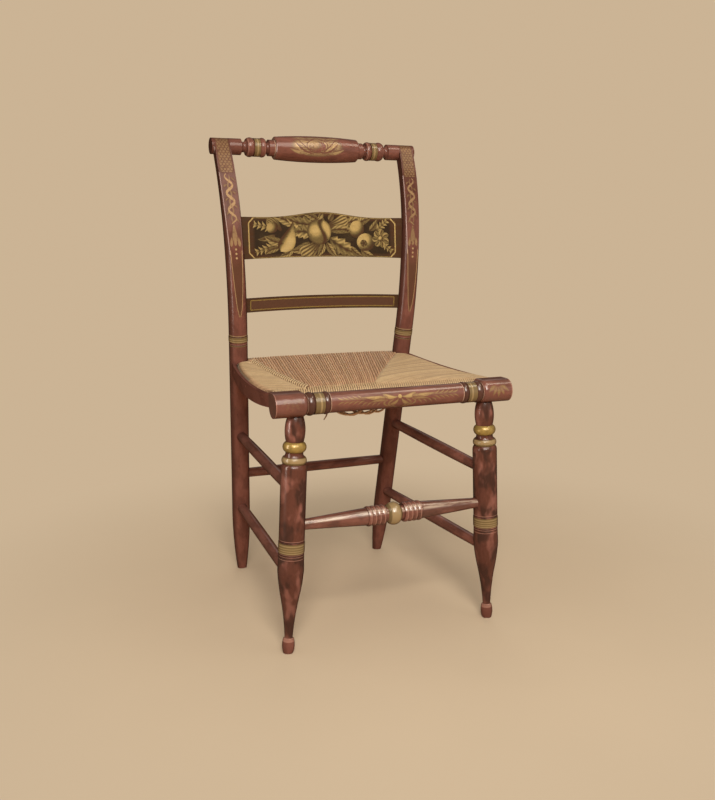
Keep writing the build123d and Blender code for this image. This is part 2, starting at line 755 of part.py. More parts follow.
def facing(grow=0.0):
    """Right facing: a thin bent board, seen from the side as a dipping curve. Grow sinks its inner face."""
    ends = (facing_rear_y, (facing_rear_y + block_back) / 2, block_back)
    rails = [side_rail_at(y) for y in ends]
    outer = [Vector(facing_outer(y), y, 0) for y in ends]
    inner = [point - Vector(facing_thickness + grow, 0, 0) for point in outer]
    plan = Wire([ThreePointArc(*outer), Line(outer[2], inner[2]), ThreePointArc(*reversed(inner)),
                 Line(inner[0], outer[0])])
    board = extrude(make_face(plan), far)
    top = [Vector(0, rail.Y, rail.Z + facing_rise) for rail in rails]
    drops = (facing_drop_rear, facing_drop_middle, facing_drop_front)
    foot = [Vector(0, rail.Y, rail.Z - drop) for rail, drop in zip(rails, drops)]
    side_view = Wire([ThreePointArc(*top), Line(top[2], foot[2]), ThreePointArc(*reversed(foot)),
                      Line(foot[0], top[0])])
    return (board & extrude(make_face(side_view), far, dir=(1, 0, 0))).solid()


# ---- Brads ----
def brad_places():
    """Head centres of the right facing's brads, on its outer face."""
    first, last = facing_rear_y - brad_end_margin, block_back + brad_end_margin
    places = []
    for index in range(brad_count):
        y = first + (last - first) * index / (brad_count - 1)
        places.append(Vector(facing_outer(y), y, side_rail_at(y).Z))
    return places


def brad(place, extra=0.0):
    """Cut brad driven straight in from the side, its head almost flush."""
    face = place + Vector(0.3, 0, 0)
    shank = rod(face, place - Vector(brad_length + extra, 0, 0), brad_radius + extra)
    head = rod(face + Vector(extra, 0, 0), face - Vector(brad_head_height + extra, 0, 0), brad_head_radius + extra)
    return joined(shank, head)


# ---- Build every piece ----
def build():
    upper_side = plain_stretcher(upper_side_tips, side_stretcher_radius)
    lower_side = plain_stretcher(lower_side_tips, side_stretcher_radius)
    rail_right = side_rail()
    brads = [brad(place) for place in brad_places()]
    brad_holes = [brad(place, joint_gap / 2) for place in brad_places()]
    blank = post_blank()
    side_rail_tip = bent_rod((post_radius - seat_tenon_depth - joint_gap) / side_rail_arc.length,
                             seat_tenon_radius + joint_gap)
    rear_ends = rear_rail_ends()
    post = cut(blank,
               socket(upper_side_tips[0], upper_side_tips[1], stretcher_end_radius),
               socket(lower_side_tips[0], lower_side_tips[1], stretcher_end_radius),
               socket(rear_tips[1], rear_tips[0], stretcher_end_radius),
               rail_socket(rear_ends[1], rear_ends[0], seat_tenon_radius),
               side_rail_tip,
               rod(crest_centre, crest_shoulder, crest_end_radius + joint_gap),
               rod(crest_centre, crest_shoulder + Vector(crest_tenon_length + joint_gap, 0, 0),
                   crest_tenon_radius + joint_gap),
               wide_slat(joint_gap), narrow_slat(joint_gap),
               slat_peg(joint_gap / 2), crest_peg(joint_gap / 2))
    slat_pin = (slat_peg() & blank).solid()
    crest_pin = (crest_peg() & blank).solid()
    leg = cut(front_leg(),
              socket(upper_side_tips[1], upper_side_tips[0], stretcher_end_radius),
              socket(lower_side_tips[1], lower_side_tips[0], stretcher_end_radius),
              socket(front_tips[1], front_tips[0], stretcher_end_radius))
    front_ends = front_rail_ends()
    front_tenon_hole = rail_socket(front_ends[1], front_ends[0], rail_tenon_radius)
    rail_right = cut(rail_right, front_tenon_hole, *brad_holes)
    side_rail_hole = bent_rod(0.5, seat_tenon_radius + joint_gap)
    roll_holes = [leg_socket(), leg_socket(-1), side_rail_hole, mirrored(side_rail_hole)]
    front_rail = straight_rail(front_ends, [bent_rod(0.0, seat_rail_radius + joint_gap),
                                            mirrored(bent_rod(0.0, seat_rail_radius + joint_gap))],
                               rail_tenon_radius)
    rear_rail = straight_rail(rear_ends, [post_rod(2 * joint_gap), post_rod(2 * joint_gap, -1)], seat_tenon_radius)
    all_brad_holes = brad_holes + [mirrored(hole) for hole in brad_holes]
    board = cut(facing(), post_rod(joint_gap), *brad_holes)
    slat_holes = [slat_peg(joint_gap / 2), mirrored(slat_peg(joint_gap / 2))]
    crest_holes = [crest_peg(joint_gap / 2), mirrored(crest_peg(joint_gap / 2))]
    return {
        "rear_post_right": post,
        "rear_post_left": mirrored(post),
        "front_leg_right": leg,
        "front_leg_left": mirrored(leg),
        "crest_rail": cut(crest_rail(), *crest_holes),
        "wide_slat": cut(wide_slat(), *slat_holes),
        "narrow_slat": narrow_slat(),
        "front_stretcher": front_stretcher(),
        "rear_stretcher": plain_stretcher(rear_tips, rear_stretcher_radius),
        "side_stretcher_upper_right": upper_side,
        "side_stretcher_upper_left": mirrored(upper_side),
        "side_stretcher_lower_right": lower_side,
        "side_stretcher_lower_left": mirrored(lower_side),
        "seat_roll": cut(seat_roll(), *roll_holes),
        "seat_rail_front": front_rail,
        "seat_rail_rear": rear_rail,
        "seat_rail_right": rail_right,
        "seat_rail_left": mirrored(rail_right),
        "rush_seat": cut(rush_seat(), *all_brad_holes),
        "seat_facing_right": board,
        "seat_facing_left": mirrored(board),
        "facing_brads": Compound(children=brads + [mirrored(piece) for piece in brads]),
        "slat_pegs": Compound(children=[slat_pin, mirrored(slat_pin)]),
        "crest_pegs": Compound(children=[crest_pin, mirrored(crest_pin)]),
    }


os.makedirs("parts", exist_ok=True)
for name, shape in build().items():
    export_step(shape, os.path.join("parts", name + ".step"))
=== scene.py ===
import math
import random

import bmesh
import bpy
from bpy.props import FloatProperty, FloatVectorProperty, IntProperty, PointerProperty
from mathutils import Matrix, Vector
from mathutils.bvhtree import BVHTree


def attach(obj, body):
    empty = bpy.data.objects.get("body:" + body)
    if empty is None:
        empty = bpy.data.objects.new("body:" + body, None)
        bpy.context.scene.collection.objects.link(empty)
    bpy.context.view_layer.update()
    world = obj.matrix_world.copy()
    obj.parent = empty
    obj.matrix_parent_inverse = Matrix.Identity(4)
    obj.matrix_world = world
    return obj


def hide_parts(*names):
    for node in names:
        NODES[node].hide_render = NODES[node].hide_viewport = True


bl_info = {
    "name": "Stenciled side chair",
    "version": (1, 0, 0),
    "blender": (4, 5, 0),
    "location": "View3D > Sidebar > Side Chair",
    "description": "Paint, gilding, stencils and rush for a fancy painted side chair",
    "category": "Object",
}

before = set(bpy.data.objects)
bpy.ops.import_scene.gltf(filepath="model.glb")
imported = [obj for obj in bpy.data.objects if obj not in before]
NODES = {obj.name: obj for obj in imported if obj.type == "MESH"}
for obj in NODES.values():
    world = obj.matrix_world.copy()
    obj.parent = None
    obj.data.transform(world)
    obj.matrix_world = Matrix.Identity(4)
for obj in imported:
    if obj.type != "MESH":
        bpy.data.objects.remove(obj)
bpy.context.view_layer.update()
MM = 0.001
SIDES = (("right", 1), ("left", -1))


# ---------------------------------------------------------------- settings


def colour_setting(name, description, default):
    return FloatVectorProperty(
        name=name, description=description, default=default, subtype="COLOR", size=3, min=0, max=1)


class PaintSettings(bpy.types.PropertyGroup):
    """Colours of the grained paint and of the gilding."""

    red: colour_setting("Red ground", "Main colour of the grained paint", (0.125, 0.0395, 0.0235))
    # dark is also the colour of the painted shade: by height, on the posts' side faces and toward each
    # part's outline
    dark: colour_setting("Dark graining", "Colour of the dark blotches and streaks", (0.048, 0.018, 0.0115))
    # the lighter parts' red is also mixed toward this tone: partly their own tone, partly painted light
    light: colour_setting("Worn red", "Colour where the paint is worn lighter", (0.270, 0.100, 0.069))
    black: colour_setting("Slat ground", "Brown-black ground of the two back slats", (0.070, 0.031, 0.014))
    gold: colour_setting("Gold", "Bright tone of the gilt rings and lines", (0.345, 0.216, 0.056))
    olive: colour_setting("Olive gold", "Shaded tone of the gilt rings and lines", (0.155, 0.100, 0.030))


class RushSettings(bpy.types.PropertyGroup):
    """Sizes and colours of the woven rush seat."""

    pitch: FloatProperty(
        name="Strand pitch", description="Distance from one rush strand to the next",
        subtype="DISTANCE", unit="LENGTH", min=0.003, max=0.008, default=0.0047)
    pale: colour_setting("Pale rush", "Colour of the rush at the sides and front", (0.57, 0.39, 0.200))
    reddish: colour_setting("Reddish rush", "Colour of the rush in the middle", (0.55, 0.295, 0.155))
    seed: IntProperty(
        name="Seed", description="Seed of the strands' small differences", default=7)


class StageSettings(bpy.types.PropertyGroup):
    """Floor, backdrop and light."""

    paper: colour_setting("Backdrop", "Colour of the floor and the backdrop", (0.600, 0.455, 0.300))
    key: FloatProperty(
        name="Key light", description="Power of the large soft light from the left",
        unit="POWER", min=0, max=500, default=112.0)
    sheen: FloatProperty(
        name="Reflectors", description="Power of the soft boxes that show in the varnish",
        unit="POWER", min=0, max=300, default=110.0)
    ambient: FloatProperty(
        name="Ambient light", description="Strength of the even light from all sides",
        min=0, max=2, default=0.46)


# ---------------------------------------------------------------- node tools


class Shade:
    """Adds nodes to a material or a group and wires them up."""

    def __init__(self, tree):
        self.tree = tree
        self.nodes = tree.nodes

    def put(self, socket, value):
        if isinstance(value, bpy.types.NodeSocket):
            self.tree.links.new(value, socket)
        elif value is not None:
            if hasattr(socket.default_value, "__len__") and len(socket.default_value) == 4:
                value = (*value[:3], 1.0)
            socket.default_value = value

    def fill(self, node, inputs):
        for key, value in dict(inputs).items():
            self.put(node.inputs[key], value)
        return node

    def node(self, kind, inputs=(), **settings):
        made = self.nodes.new(f"ShaderNode{kind}")
        for key, value in settings.items():
            setattr(made, key, value)
        return self.fill(made, inputs)

    def own(self, kind):
        """The node of this type that the material or the world began with."""
        return next(n for n in self.nodes if n.type == kind)

    def math(self, operation, a, b=None):
        return self.node("Math", enumerate((a, b)), operation=operation).outputs[0]

    def times(self, a, b):
        return self.math("MULTIPLY", a, b)

    def vector(self, operation, a, b=None):
        made = self.node("VectorMath", enumerate((a, b)), operation=operation)
        return made.outputs["Value" if operation in ("DOT_PRODUCT", "LENGTH") else "Vector"]

    def along(self, axis, vector):
        return self.node("SeparateXYZ", {0: vector}).outputs[axis]

    def mix(self, factor, a, b):
        return self.node("Mix", {0: factor, 6: a, 7: b}, data_type="RGBA").outputs[2]

    def ramp(self, factor, low, high, out_low=0.0, out_high=1.0):
        values = enumerate((factor, low, high, out_low, out_high))
        return self.node("MapRange", values, interpolation_type="SMOOTHSTEP").outputs[0]

    def layers(self, colour, *layers):
        """Lay tones over a colour. Each tone's strength goes from weak to strong as its value goes from low
        to high."""
        for value, low, high, weak, strong, tone in layers:
            colour = self.mix(self.ramp(value, low, high, weak, strong), colour, tone)
        return colour

    def noise(self, vector, scale, detail=3.0, roughness=0.5, stretch=(1, 1, 1)):
        return self.node("TexNoise", {
            "Vector": self.vector("MULTIPLY", vector, stretch),
            "Scale": scale, "Detail": detail, "Roughness": roughness}).outputs["Fac"]

    def bump(self, height, distance, strength):
        return self.node(
            "Bump", {"Height": height, "Distance": distance, "Strength": strength}).outputs["Normal"]

    def coordinates(self, kind="Object"):
        return self.node("TexCoord").outputs[kind]

    def attribute(self, name, output="Fac"):
        return self.node("Attribute", attribute_name=name).outputs[output]

    def group(self, name, inputs):
        return self.node("Group", inputs, node_tree=bpy.data.node_groups[name]).outputs


def new_group(name, inputs, outputs):
    """A shader node group with its named sockets: its tools, what comes in, and its output node."""
    group = bpy.data.node_groups.new(name, "ShaderNodeTree")
    for way, sockets in (("INPUT", inputs), ("OUTPUT", outputs)):
        for socket, kind in sockets.items():
            group.interface.new_socket(socket, in_out=way, socket_type=f"NodeSocket{kind}")
    return Shade(group), group.nodes.new("NodeGroupInput").outputs, group.nodes.new("NodeGroupOutput")


def new_material(name):
    """A material with its tools and its Principled shader, ready for its nodes."""
    material = bpy.data.materials.new(name)
    material.use_nodes = True
    shade = Shade(material.node_tree)
    return material, shade, shade.own("BSDF_PRINCIPLED")


def dress(names, material):
    for name in names:
        NODES[name].data.materials.clear()
        NODES[name].data.materials.append(material)


# ---------------------------------------------------------------- paints

PAINT_LAYERS = {"Color": "Color", "Roughness": "Float", "Height": "Float"}


def make_graining():
    """Red paint with soft dark blotches, worn light patches and fine streaks along the wood."""
    shade, given, made = new_group("Grained red paint", {
        "Place": "Vector", "Stretch": "Vector", "Red": "Color", "Dark": "Color", "Light": "Color",
        "Blotches": "Float"}, PAINT_LAYERS)
    dark, light, blotches = given["Dark"], given["Light"], given["Blotches"]
    place = shade.vector("MULTIPLY", given["Place"], given["Stretch"])
    wander = shade.node("TexNoise", {"Vector": given["Place"], "Scale": 30.0, "Detail": 2.0})
    bend = shade.vector("MULTIPLY", wander.outputs["Color"], (0.010, 0.010, 0.010))
    bent = shade.vector("ADD", place, bend)
    blots = shade.noise(bent, 46.0, 2.0)
    patches = shade.noise(shade.vector("ADD", bent, (1.7, 0.4, 2.3)), 40.0, 2.0)
    streaks = shade.noise(shade.vector("MULTIPLY", bent, given["Stretch"]), 300.0, 4.0, 0.6)
    fine = shade.noise(place, 900.0, 2.0)
    tone = shade.mix(shade.times(shade.ramp(patches, 0.49, 0.65), blotches), given["Red"], light)
    tone = shade.mix(shade.times(shade.ramp(blots, 0.44, 0.60), blotches), tone, dark)
    shade.fill(made, {
        "Color": shade.layers(
            tone, (streaks, 0.50, 0.74, 0.0, 0.30, dark), (streaks, 0.26, 0.46, 0.14, 0.0, light),
            (fine, 0.35, 0.65, 0.0, 0.12, dark)),
        "Roughness": shade.ramp(blots, 0.2, 0.8, 0.30, 0.44),
        "Height": shade.math("ADD", shade.times(fine, 0.35), streaks)})


def make_black_paint():
    """Brown-black paint with faint olive clouds and brush streaks."""
    shade, given, made = new_group(
        "Brown-black paint", {"Place": "Vector", "Black": "Color"}, PAINT_LAYERS)
    streaks = shade.noise(given["Place"], 240.0, 4.0, 0.6, (0.12, 1, 1))
    clouds = shade.noise(given["Place"], 40.0)
    tone = shade.layers(
        given["Black"], (streaks, 0.4, 0.7, 0.0, 0.5, (0.075, 0.042, 0.026)),
        (clouds, 0.45, 0.7, 0.0, 0.5, (0.052, 0.038, 0.019)))
    shade.fill(made, {
        "Color": tone, "Roughness": shade.ramp(streaks, 0.3, 0.7, 0.3, 0.45), "Height": streaks})


def make_gilding():
    """Gold, rubbed and softly shaded, for the gilt rings: its colour, and where it is worn off."""
    shade, given, made = new_group(
        "Rubbed gold", {"Place": "Vector", "Gold": "Color", "Olive": "Color"},
        {"Color": "Color", "Wear": "Float"})
    broad = shade.noise(given["Place"], 70.0, 2.0)
    fine = shade.noise(given["Place"], 1100.0, 3.0, 0.65)
    tone = shade.layers(
        given["Gold"], (broad, 0.36, 0.70, 0.05, 0.60, given["Olive"]),
        (fine, 0.45, 0.75, 0.0, 0.35, given["Olive"]))
    shade.fill(made, {"Color": tone, "Wear": shade.ramp(fine, 0.64, 0.76, 0.0, 0.8)})


def make_band():
    """1 between two distances along a piece, 0 elsewhere, with soft and slightly uneven edges."""
    shade, given, made = new_group(
        "Band", {"Along": "Float", "Place": "Vector", "From": "Float", "To": "Float"}, {"Mask": "Float"})
    soft, uneven = 0.00022, 0.0005
    ragged = shade.math("SUBTRACT", shade.noise(given["Place"], 400.0, 2.0), 0.5)
    along = shade.math("ADD", given["Along"], shade.times(ragged, uneven))

    def edge(at, before, after):
        low, high = shade.math("SUBTRACT", at, soft), shade.math("ADD", at, soft)
        return shade.ramp(along, low, high, before, after)
    shade.fill(made, {"Mask": shade.times(edge(given["From"], 0.0, 1.0), edge(given["To"], 1.0, 0.0))})


def red_ground(stretch, blotches, tone_and_painted_light=0.0, dim=None, sides=0.0, rubbed=0.0):
    """The grained paint as put on one part. Its third value makes its red lighter, or darker below 0:
    partly the part's own tone and partly painted light and shade. dim gives the height where it is
    darkest, the height where that has faded away, and how much darker: painted shade. sides is how much
    darker it is on the faces that look to the left and right: painted shade. rubbed is how much paler it
    is in streaks along its upper front: a painted highlight."""
    def ground(shade, place):
        paint = bpy.context.scene.chair_paint
        # the red made lighter or darker: partly the part's own tone, partly painted light and shade
        toward = paint.light if tone_and_painted_light > 0 else paint.dark
        red = [r + (t - r) * abs(tone_and_painted_light) for r, t in zip(paint.red, toward)]
        made = shade.group("Grained red paint", {
            "Place": place, "Stretch": stretch, "Blotches": blotches,
            "Red": red, "Dark": paint.dark, "Light": paint.light})
        colour = made["Color"]
        # painted shade, darker by height
        if dim:
            darkest, faded, amount = dim
            height = shade.along("Z", place)
            colour = shade.layers(colour, (height, darkest, faded, amount, 0.0, paint.dark))
        # painted shade on the faces that look to the left and right
        if sides:
            across = shade.math("ABSOLUTE", shade.along("X", shade.coordinates("Normal")))
            colour = shade.layers(colour, (across, 0.60, 0.96, 0.0, sides, paint.dark))
        # painted highlight: pale streaks along the upper front, where the top light falls
        if rubbed:
            upward = shade.along("Z", shade.coordinates("Normal"))
            off = shade.math("ABSOLUTE", shade.math("SUBTRACT", upward, 0.56))
            streaks = shade.ramp(shade.noise(place, 260.0, 3.0, 0.6, (0.08, 1, 1)), 0.34, 0.58)
            mask = shade.times(shade.ramp(off, 0.10, 0.36, rubbed, 0.0), streaks)
            colour = shade.mix(mask, colour, (0.50, 0.36, 0.255))
        return colour, made["Roughness"], made["Height"]
    return ground


def black_ground(shade, place):
    """The slats' paint."""
    made = shade.group("Brown-black paint", {
        "Place": place, "Black": bpy.context.scene.chair_paint.black})
    return made["Color"], made["Roughness"], made["Height"]


# which way the graining is drawn out: up a part, across the chair, or from front to back
UPRIGHT, LEVEL, DEEP = (1, 1, 0.55), (0.5, 1, 1), (1, 0.5, 1)
# each part's paint: its lighter or darker red is partly its own tone, partly painted light and shade; the
# legs also get painted shade toward the floor
LEG_PAINT = red_ground(UPRIGHT, 0.95, -0.16, (0.05, 0.24, 0.30))
# the posts: painted shade toward their tops and on their side faces
POST_PAINT = red_ground(UPRIGHT, 0.32, 0.46, (0.80, 0.50, 0.42), 0.62)
ROLL_PAINT = CREST_PAINT = red_ground(LEVEL, 0.26, 0.42)
# the front stretcher: a painted highlight in pale streaks along its upper front
FRONT_STRETCHER_PAINT = red_ground(LEVEL, 0.55, 0.36, rubbed=0.75)
REAR_STRETCHER_PAINT = red_ground(LEVEL, 0.45, 0.45)
SIDE_PAINT = red_ground(DEEP, 0.40, 0.92)
# the facings: lightened most, painted light on boards that lie in shade
FACING_PAINT = red_ground(DEEP, 0.30, 1.25)


def lay_paint(shade, shader, colour, roughness, height, gloss):
    """Put the paint on the shader under its varnish, darker toward the part's outline as painted shade, and
    duller there.
    """
    facing = shade.node("LayerWeight", {"Blend": 0.5}).outputs["Facing"]
    dark = bpy.context.scene.chair_paint.dark
    # painted shade: the colour turns dark toward the part's outline
    shade.fill(shader, {
        "Base Color": shade.layers(colour, (facing, 0.36, 0.90, 0.0, 0.68, dark)),
        "Roughness": roughness, "Normal": shade.bump(height, 0.00012, 0.4),
        "Coat Weight": shade.ramp(facing, 0.35, 0.95, gloss, 0.1 * gloss), "Coat Roughness": 0.20,
        "Specular IOR Level": 0.0})


# ---------------------------------------------------------------- bands round the turnings

# each kind of band's tone, and how strongly it covers the paint. The pale bands and the pinkish
# highlight bands are light lines on the crests and rims of the turnings and on the feet's shoulders:
# painted highlights
TONES = {
    "dark": ((0.060, 0.022, 0.013), 0.85), "pale": ((0.52, 0.33, 0.22), 0.8),
    "rose_highlight": ((0.40, 0.19, 0.13), 0.6), "red": ((0.175, 0.058, 0.038), 0.65),
    "olive": ((0.168, 0.108, 0.042), 0.95), "ochre": ((0.335, 0.220, 0.098), 0.8)}
GILT_METAL = 0.18

# kind, from and to, in mm: up the leg and the post, and out from the chair's middle on the others
LEG_BANDS = (
    ("rose_highlight", 163.4, 164.3), ("dark", 166.5, 168.3), ("rose_highlight", 168.3, 169.2), ("dark", 170.1, 171.9),
    ("rose_highlight", 171.9, 172.8), ("olive", 173.7, 190.2), ("ochre", 174.8, 176.2), ("ochre", 178.4, 179.6),
    ("ochre", 182.2, 183.4), ("ochre", 186.4, 188.0), ("dark", 192.0, 193.8), ("rose_highlight", 194.0, 195.0),
    ("olive", 319.6, 330.9), ("ochre", 323.0, 330.0), ("gold", 338.6, 355.2), ("red", -1.0, 20.4),
    ("rose_highlight", 20.4, 24.2), ("rose_highlight", 24.4, 26.2))
POST_BANDS = (
    ("olive", 479.2, 480.6), ("dark", 480.9, 482.5), ("rose_highlight", 482.6, 483.6), ("olive", 487.0, 497.0),
    ("ochre", 487.6, 489.4), ("ochre", 491.6, 493.2), ("dark", 497.0, 498.4), ("ochre", 499.0, 500.6))
# the ochre line in the middle of the olive gilt band is partly gilding, partly a painted highlight
ROLL_BANDS = (
    ("dark", 119.6, 128.6), ("pale", 118.2, 119.4), ("olive", 129.0, 144.5), ("ochre", 133.6, 136.6),
    ("dark", 145.0, 156.6), ("pale", 156.8, 158.0), ("rose_highlight", 209.4, 210.7))
# as on the roll, the ochre line in the olive band is partly gilding, partly a painted highlight
CREST_BANDS = (
    ("pale", 84.0, 85.4), ("olive", 113.0, 124.5), ("ochre", 116.8, 120.0), ("rose_highlight", 104.0, 105.2),
    ("rose_highlight", 136.0, 137.2))
# the bead's ochre middle, inside its olive rim, is partly gilding, partly a painted highlight
FRONT_STRETCHER_BANDS = (
    ("olive", -1.0, 12.4), ("ochre", -1.0, 8.5), ("rose_highlight", 20.2, 21.5), ("rose_highlight", 28.5, 29.8),
    ("rose_highlight", 36.8, 38.1), ("rose_highlight", 45.0, 46.3), ("dark", 49.6, 50.6))

# where the right leg and the right post stand on the floor, in mm, and the way they lean
LEG_FOOT, LEG_LEAN = (188.27, -196.0), math.radians(2.5)
POST_FOOT = (152.0, 213.9)
POST_SPLAY, POST_RAKE = math.tan(math.radians(2.39)), math.tan(math.radians(9.6))


def along_axis(side, foot, direction):
    """How far a point is along the axis of a turned piece that stands on this foot, for the bands on it."""
    def measure(shade, place):
        start = (side * foot[0] * MM, foot[1] * MM, 0)
        return shade.vector("DOT_PRODUCT", shade.vector("SUBTRACT", place, start), tuple(direction))
    return measure


def from_middle(shade, place):
    """How far a point is from the chair's middle plane, the same on both sides."""
    return shade.math("ABSOLUTE", shade.along("X", place))


def painted(name, ground, measure=None, bands=(), gloss=0.38):
    """Grained paint under varnish, with bands of gold or of a tone round it."""
    paint = bpy.context.scene.chair_paint
    material, shade, shader = new_material(name)
    place = shade.coordinates()
    colour, roughness, height = ground(shade, place)
    along = measure(shade, place) if bands else None
    for kind, start, end in bands:
        mask = shade.group("Band", {
            "Along": along, "Place": place, "From": start * MM, "To": end * MM})["Mask"]
        if kind == "gold":
            gold = shade.group("Rubbed gold", {"Place": place, "Gold": paint.gold, "Olive": paint.olive})
            kept = shade.times(mask, shade.math("SUBTRACT", 1.0, gold["Wear"]))
            colour = shade.mix(kept, colour, gold["Color"])
            shade.fill(shader, {"Metallic": shade.times(kept, GILT_METAL)})
        else:
            tone, strength = TONES[kind]
            colour = shade.mix(shade.times(mask, strength), colour, tone)
    lay_paint(shade, shader, colour, roughness, height, gloss)
    return material


class CHAIR_OT_paint(bpy.types.Operator):
    """Paint the turned and bent frame: red graining with gilt bands"""

    bl_idname = "chair.paint"
    bl_label = "Painted frame"

    def execute(self, context):
        make_graining()
        make_gilding()
        make_band()
        make_black_paint()
        for name, side in SIDES:
            leg = along_axis(side, LEG_FOOT, (-side * math.sin(LEG_LEAN), 0, math.cos(LEG_LEAN)))
            post = along_axis(side, POST_FOOT, Vector((side * POST_SPLAY, -POST_RAKE, 1)).normalized())
            dress([f"front_leg_{name}"], painted(f"grained_leg_{name}", LEG_PAINT, leg, LEG_BANDS))
            dress([f"rear_post_{name}"], painted(
                f"grained_post_{name}", POST_PAINT, post, POST_BANDS, gloss=0.16))
        for part, material, ground, bands, gloss in (
                ("seat_roll", "grained_roll", ROLL_PAINT, ROLL_BANDS, 0.62),
                ("crest_rail", "grained_crest", CREST_PAINT, CREST_BANDS, 0.38),
                ("front_stretcher", "grained_front_stretcher", FRONT_STRETCHER_PAINT,
                 FRONT_STRETCHER_BANDS, 0.85)):
            dress([part], painted(material, ground, from_middle, bands, gloss))
        dress(["rear_stretcher"], painted("grained_rear_stretcher", REAR_STRETCHER_PAINT))
        dress([f"side_stretcher_{level}_{name}" for level in ("upper", "lower") for name, _ in SIDES],
              painted("grained_side_stretchers", SIDE_PAINT))
        # the brads' flush heads are painted over with the boards they hold
        dress(["seat_facing_left", "seat_facing_right", "facing_brads"],
              painted("grained_facings", FACING_PAINT, gloss=0.08))
        return {"FINISHED"}


class CHAIR_OT_bare_wood(bpy.types.Operator):
    """Give the slats, the hidden seat rails and the pegs their finishes"""

    bl_idname = "chair.bare_wood"
    bl_label = "Slats, rails and pegs"

    def execute(self, context):
        slats, shade, shader = new_material("black_slats")
        lay_paint(shade, shader, *black_ground(shade, shade.coordinates()), gloss=0.05)
        dress(["wide_slat", "narrow_slat"], slats)

        bare, shade, shader = new_material("bare_maple")
        rings = shade.noise(shade.coordinates(), 300.0, 4.0, 0.55, (0.2, 1, 1))
        tone = shade.layers((0.42, 0.27, 0.14), (rings, 0.35, 0.7, 0.0, 1.0, (0.27, 0.155, 0.075)))
        shade.fill(shader, {
            "Base Color": tone, "Roughness": shade.ramp(rings, 0.3, 0.7, 0.5, 0.7),
            "Normal": shade.bump(rings, 0.0002, 0.4)})
        rails = [f"seat_rail_{place}" for place in ("front", "rear", "left", "right")]
        dress([*rails, "slat_pegs", "crest_pegs"], bare)
        return {"FINISHED"}


def made_object(name, bm, material):
    mesh = bpy.data.meshes.new(name)
    bm.to_mesh(mesh)
    bm.free()
    made = bpy.data.objects.new(name, mesh)
    bpy.context.scene.collection.objects.link(made)
    mesh.materials.append(material)
    return made


# ---------------------------------------------------------------- laying things on the wood

CREST_AXIS = (173.9, 837.5)
ROLL_AXIS = (-203.0, 415.0)
SCROLL_RADIUS = 17.0
# how far out of the wood the search for its surface starts, in metres
BEFORE_SLAT, BEFORE_TURNING, BEFORE_POST = 0.5, 0.1, 0.3


def surface_of(name):
    """The surface of a CAD node, to lay thin pieces on."""
    mesh = NODES[name].data
    return BVHTree.FromPolygons([v.co for v in mesh.vertices], [p.vertices for p in mesh.polygons])


def facing_forward(a, b):
    """A slat's front: a across from its middle and b its height, in mm."""
    return Vector((a * MM, -BEFORE_SLAT, b * MM)), Vector((0, 1, 0))


def round_axis(back, height, radius):
    """The front of a part turned along X: a across and b round it, up from its foremost line, in mm."""
    def place(a, b):
        turn = b / radius
        inward = Vector((0, math.cos(turn), -math.sin(turn)))
        return Vector((a, back, height)) * MM - inward * BEFORE_TURNING, inward
    return place


def up_post(side):
    """A rear post's front: a outward from its middle line and b up it, over its scrolled top, in mm."""
    back, top = CREST_AXIS

    def place(a, b):
        height = min(b, top)
        turn = max(0.0, (b - top) / SCROLL_RADIUS)
        inward = Vector((0, math.cos(turn), -math.sin(turn)))
        across = side * (POST_FOOT[0] + height * POST_SPLAY + a)
        return Vector((across, back, height)) * MM - inward * BEFORE_POST, inward
    return place


def smooth(x, low, high):
    """0 below low and 1 above high, with an even swing between them."""
    x = min(1.0, max(0.0, (x - low) / (high - low)))
    return x * x * (3 - 2 * x)


